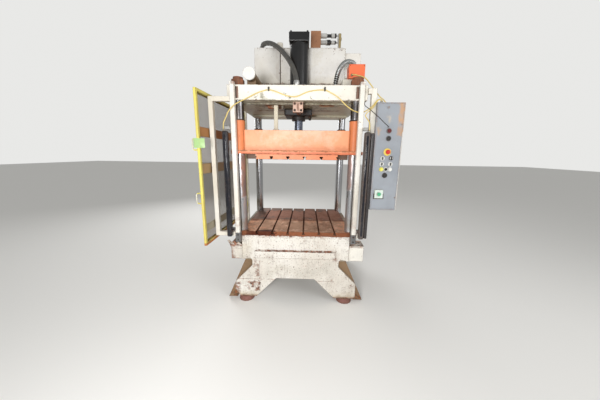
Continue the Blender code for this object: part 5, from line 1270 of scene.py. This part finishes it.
# %% The torn sheet
TEAR_KNOTS = [0.0, 0.12, 0.25, 0.42, 0.55, 0.70, 1.0]
TEAR_TOPS = [0.646, 0.652, 0.628, 0.644, 0.620, 0.632, 0.600]
TEAR_LEFT, TEAR_WIDTH, TEAR_LOW, TEAR_BACK = -0.6495, 0.112, 0.552, 0.0265
SHEET_THICK = 0.002
sideways = np.linspace(0, 1, 29)[:, None]
upwards = np.linspace(0, 1, 8)
curl = upwards**2 * (1 - sideways)
torn_z = TEAR_LOW + (np.interp(sideways, TEAR_KNOTS, TEAR_TOPS) - TEAR_LOW) * upwards
torn_x = TEAR_LEFT + TEAR_WIDTH * sideways - 0.030 * curl * (1 - sideways)
torn_y = TEAR_BACK - 0.006 * np.minimum(1, 3 * upwards) - 0.014 * curl
torn = np.stack([torn_x, torn_y, torn_z], axis=-1)
torn = np.concatenate([torn, torn[:, ::-1] + np.array([0, SHEET_THICK, 0])], axis=1)
piece("torn_sheet", [skin(torn + HOME)], box_paint, "press")

# %% [markdown]
# ## Weld beads
# The raised bar is welded to the bed plate and the ram's beam to its flange. A bead is a string of
# overlapping puddles, so its radius swells and shrinks along its length. Half of it is sunk in the
# corner that it fills.

# %% Weld beads on bed and ram
WELD_BACK = -0.0005
welds = [((-0.397, WELD_BACK, height), (0.397, WELD_BACK, height)) for height in (0.549, 0.479)]
welds += [((across, WELD_BACK, 0.480), (across, WELD_BACK, 0.548)) for across in (-0.398, 0.398)]
bed_beads = [bead(home(*start), home(*end), 0.0045) for start, end in welds]
piece("bed_weld_beads", bed_beads, bed_paint, "press")
ram_beads = [
    bead(home(-0.470, back, 1.527), home(0.470, back, 1.527), 0.0055) for back in (0.0295, 0.9365)
]
piece("ram_weld_beads", ram_beads, ram_paint, "ram")

# %% [markdown]
# ## Wipers on the guide sleeves
# Each guide sleeve ends in a rubber wiper that keeps grit off the column. It is a closed ring with
# half a millimetre of room round the chrome, and it rides on the ram.

# %% Column wipers
WIPER = [
    (0.0446, 0.0), (0.0446, 0.007), (0.0470, 0.009), (0.0520, 0.006), (0.0535, 0.0),
    (0.0500, -0.001),
]
sleeve_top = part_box("ram_frame")[1].z
wipers = [
    stood(turned(WIPER, 40, ring=True), home(across, back, sleeve_top))
    for across in (-0.527, 0.527)
    for back in (0.060, 0.906)
]
wiper_finish = moulded("wiper rubber", (38, 36, 35), 0.6, 0.5)
piece("column_wipers", wipers, wiper_finish, "ram")

# %% [markdown]
# ## Bolts and screws
# Fasteners are what an eye checks for scale. Heads that share a finish and a body are one piece:
# hexagons on the post shoes, sunk screws on the boxes and in the port block.

# %% Bolts and screws
iron = steel("bolt iron", (86, 82, 78), (64, 54, 46), 0.2, 0.42)
heads = [
    front(hexagon(0.008, 0.005), centre_of(post)[0] - HOME[0], -0.042, height)
    for post in POSTS.split()
    for height in (0.676, 0.724)
]
heads += [front(screw(0.0105, 0.007), x, 0.066, z) for x in (-0.021, 0.037) for z in (1.888, 1.944)]
piece("dark_bolts", heads, iron, "press")

PLUG = [(0.010, -0.002), (0.018, -0.002), (0.018, 0.010)]
PLUG += [(0.013, 0.012), (0.013, 0.030), (0.009, 0.034)]
plug = stood(turned(PLUG, 20), home(0.122, 0.440, 1.884), "down")
piece("gland_plug", [plug], iron, "press")

junction_screws = [
    front(screw(0.0045, 0.0025), x, 0.100, z) for x in (0.466, 0.588) for z in (2.177, 2.272)
]
piece("junction_screws", junction_screws, junction_paint, "press")
cover_screws = [
    front(screw(0.005, 0.003), x, 0.650, z) for x in (0.503, 0.655) for z in (2.343, 2.564)
]
piece("cover_screws", cover_screws, tank_paint, "press")

# %% [markdown]
# ## Console trim, cable glands and hose ends
# The console's door has a folded lip, two latches and a lock. Every cable enters through a gland
# and the main hose ends in a crimped ferrule: all spun profiles, except the dark guard round the
# start button, which is a bar carried round three sides of its plate.

# %% Console trim, start guard, glands and ferrules
FOLD = flange(0.010, 0.0016, 0.0022, 0.0008)
fold = front(slab(0.1180, 0.4665, 0.0115, FOLD, ring=True), 0.8035, CONSOLE_FRONT, 1.470)
piece("console_door_lip", [fold], console_paint, "press")
latches = [front(screw(0.007, 0.004), 0.906, CONSOLE_FRONT, z) for z in (1.12, 1.76)]
latches.append(front(screw(0.010, 0.006), 0.782, CONSOLE_FRONT, 1.896))
piece("console_latches", latches, console_paint, "press")

GUARD_HALF = [(0.0425, 0.004), (0.0425, -0.036), (0.0395, -0.0415)]
GUARD_BACK = 0.0035
guard_knots = [(-x, 0.0, z) for x, z in GUARD_HALF] + [(x, 0.0, z) for x, z in GUARD_HALF[::-1]]
guard_line, _ = smooth_path(guard_knots, 0.004)
start_across, _, start_height = centre_of("start_green") - HOME
guard_line += home(start_across, CONSOLE_FRONT - GUARD_BACK, start_height)
guard_finish = moulded("guard black", (36, 35, 35), 0.3, 0.4)
guard = carried(guard_line, 0.0036, 8, (0, 1, 0))
piece("start_guard", [guard], guard_finish, "press")

GLAND = [
    (0.0050, -0.001), (0.0110, -0.001), (0.0110, 0.007), (0.0085, 0.0085), (0.0085, 0.012),
    (0.0064, 0.015), (0.0050, 0.015),
]
CONSOLE_TOP = 1.937
gland = turned(GLAND, 16, ring=True)
glands = [front(gland, 0.484, 0.100, 2.192)]
glands += [stood(gland, home(x, -0.067, 1.690)) for x in (-0.634, 0.629)]
for cable in ("cable_curtain_left", "cable_junction", "cable_curtain_right"):
    points = np.array([vertex.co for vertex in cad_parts[cable].data.vertices])
    at_console = points[np.abs(points[:, 2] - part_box("console")[1].z) < 0.002]
    glands.append(stood(gland, (*at_console[:, :2].mean(axis=0), CONSOLE_TOP)))
brass = steel("gland brass", (168, 164, 152), (104, 98, 84), 0.06, 0.3)
piece("cable_glands", glands, brass, "press")

FERRULE = [
    (0.0254, 0.0), (0.0300, 0.0), (0.0300, 0.010), (0.0288, 0.012), (0.0288, 0.016),
    (0.0300, 0.018), (0.0300, 0.030), (0.0268, 0.038), (0.0254, 0.038),
]
ferrules = [
    stood(turned(np.array(FERRULE) * (1, stretch), 28, ring=True), home(*place))
    for stretch, place in ((2.1, (-0.0195, 0.335, 2.1305)), (0.5, (-0.444, 0.800, 2.6385)))
]
zinc = steel("ferrule zinc", (208, 208, 206), (150, 146, 138), 0.05, 0.3)
piece("hose_ferrules", ferrules, zinc, "press")

# %% [markdown]
# ## Windows of the light curtains
# A light curtain looks out through a long dark lens. It is a narrow rounded plate, a little proud
# of its profile, in near-black plastic with a high gloss.

# %% Light curtain windows
LENS = [(0.0, -0.001), (0.0, 0.0010), (0.0014, 0.0020), (0.0035, 0.0024)]
lenses = [front(slab(0.0095, 0.452, 0.004, LENS), x, -0.092, 1.206) for x in (-0.621, 0.6145)]
lens_finish = moulded("lens plastic", (22, 23, 32), 0.12, 0.05)
piece("curtain_windows", lenses, lens_finish, "press")

# %% [markdown]
# ## Clamping strips on the door
# On its outer face the expanded metal is held by flat strips with domed rivets. They are drawn in
# the door's own directions, then turned with it about the hinge.

# %% Clamping strips
STRIP = [(0.0, 0.0), (0.0, 0.0020), (0.0012, 0.0026)]
DOME = [(0.0045, 0.0), (0.0045, 0.0028), (0.0030, 0.0046), (0.0010, 0.0052)]
STRIP_HALF, STRIP_CORNER, STRIP_INSET = 0.008, 0.003, 0.007
middle_y, middle_z = (panel_low[1:] + panel_high[1:]) / 2
half_y, half_z = (panel_high[1:] - panel_low[1:]) / 2
strips = []


def strip_on(shape, y, z):
    """Adds a shape to the door's outer face, at a step from the middle of its mesh."""
    strips.append(stood(shape, (panel_low[0], middle_y + y, middle_z + z), "left"))


for end in (-1, 1):
    edge_y, edge_z = end * (half_y - STRIP_INSET), end * (half_z - STRIP_INSET)
    strip_on(slab(STRIP_HALF, half_z, STRIP_CORNER, STRIP), edge_y, 0)
    strip_on(slab(half_y, STRIP_HALF, STRIP_CORNER, STRIP), 0, edge_z)
    for share in np.linspace(-0.94, 0.94, 11):
        strip_on(turned(DOME, 10), edge_y, share * half_z)
strip_paint = painted("strip paint", (228, 214, 108), None, (0.7, 0.15, 0.14, 0.45, 0.42))
piece("door_clamp_strips", [hung(together(strips))], strip_paint, "guard_door")
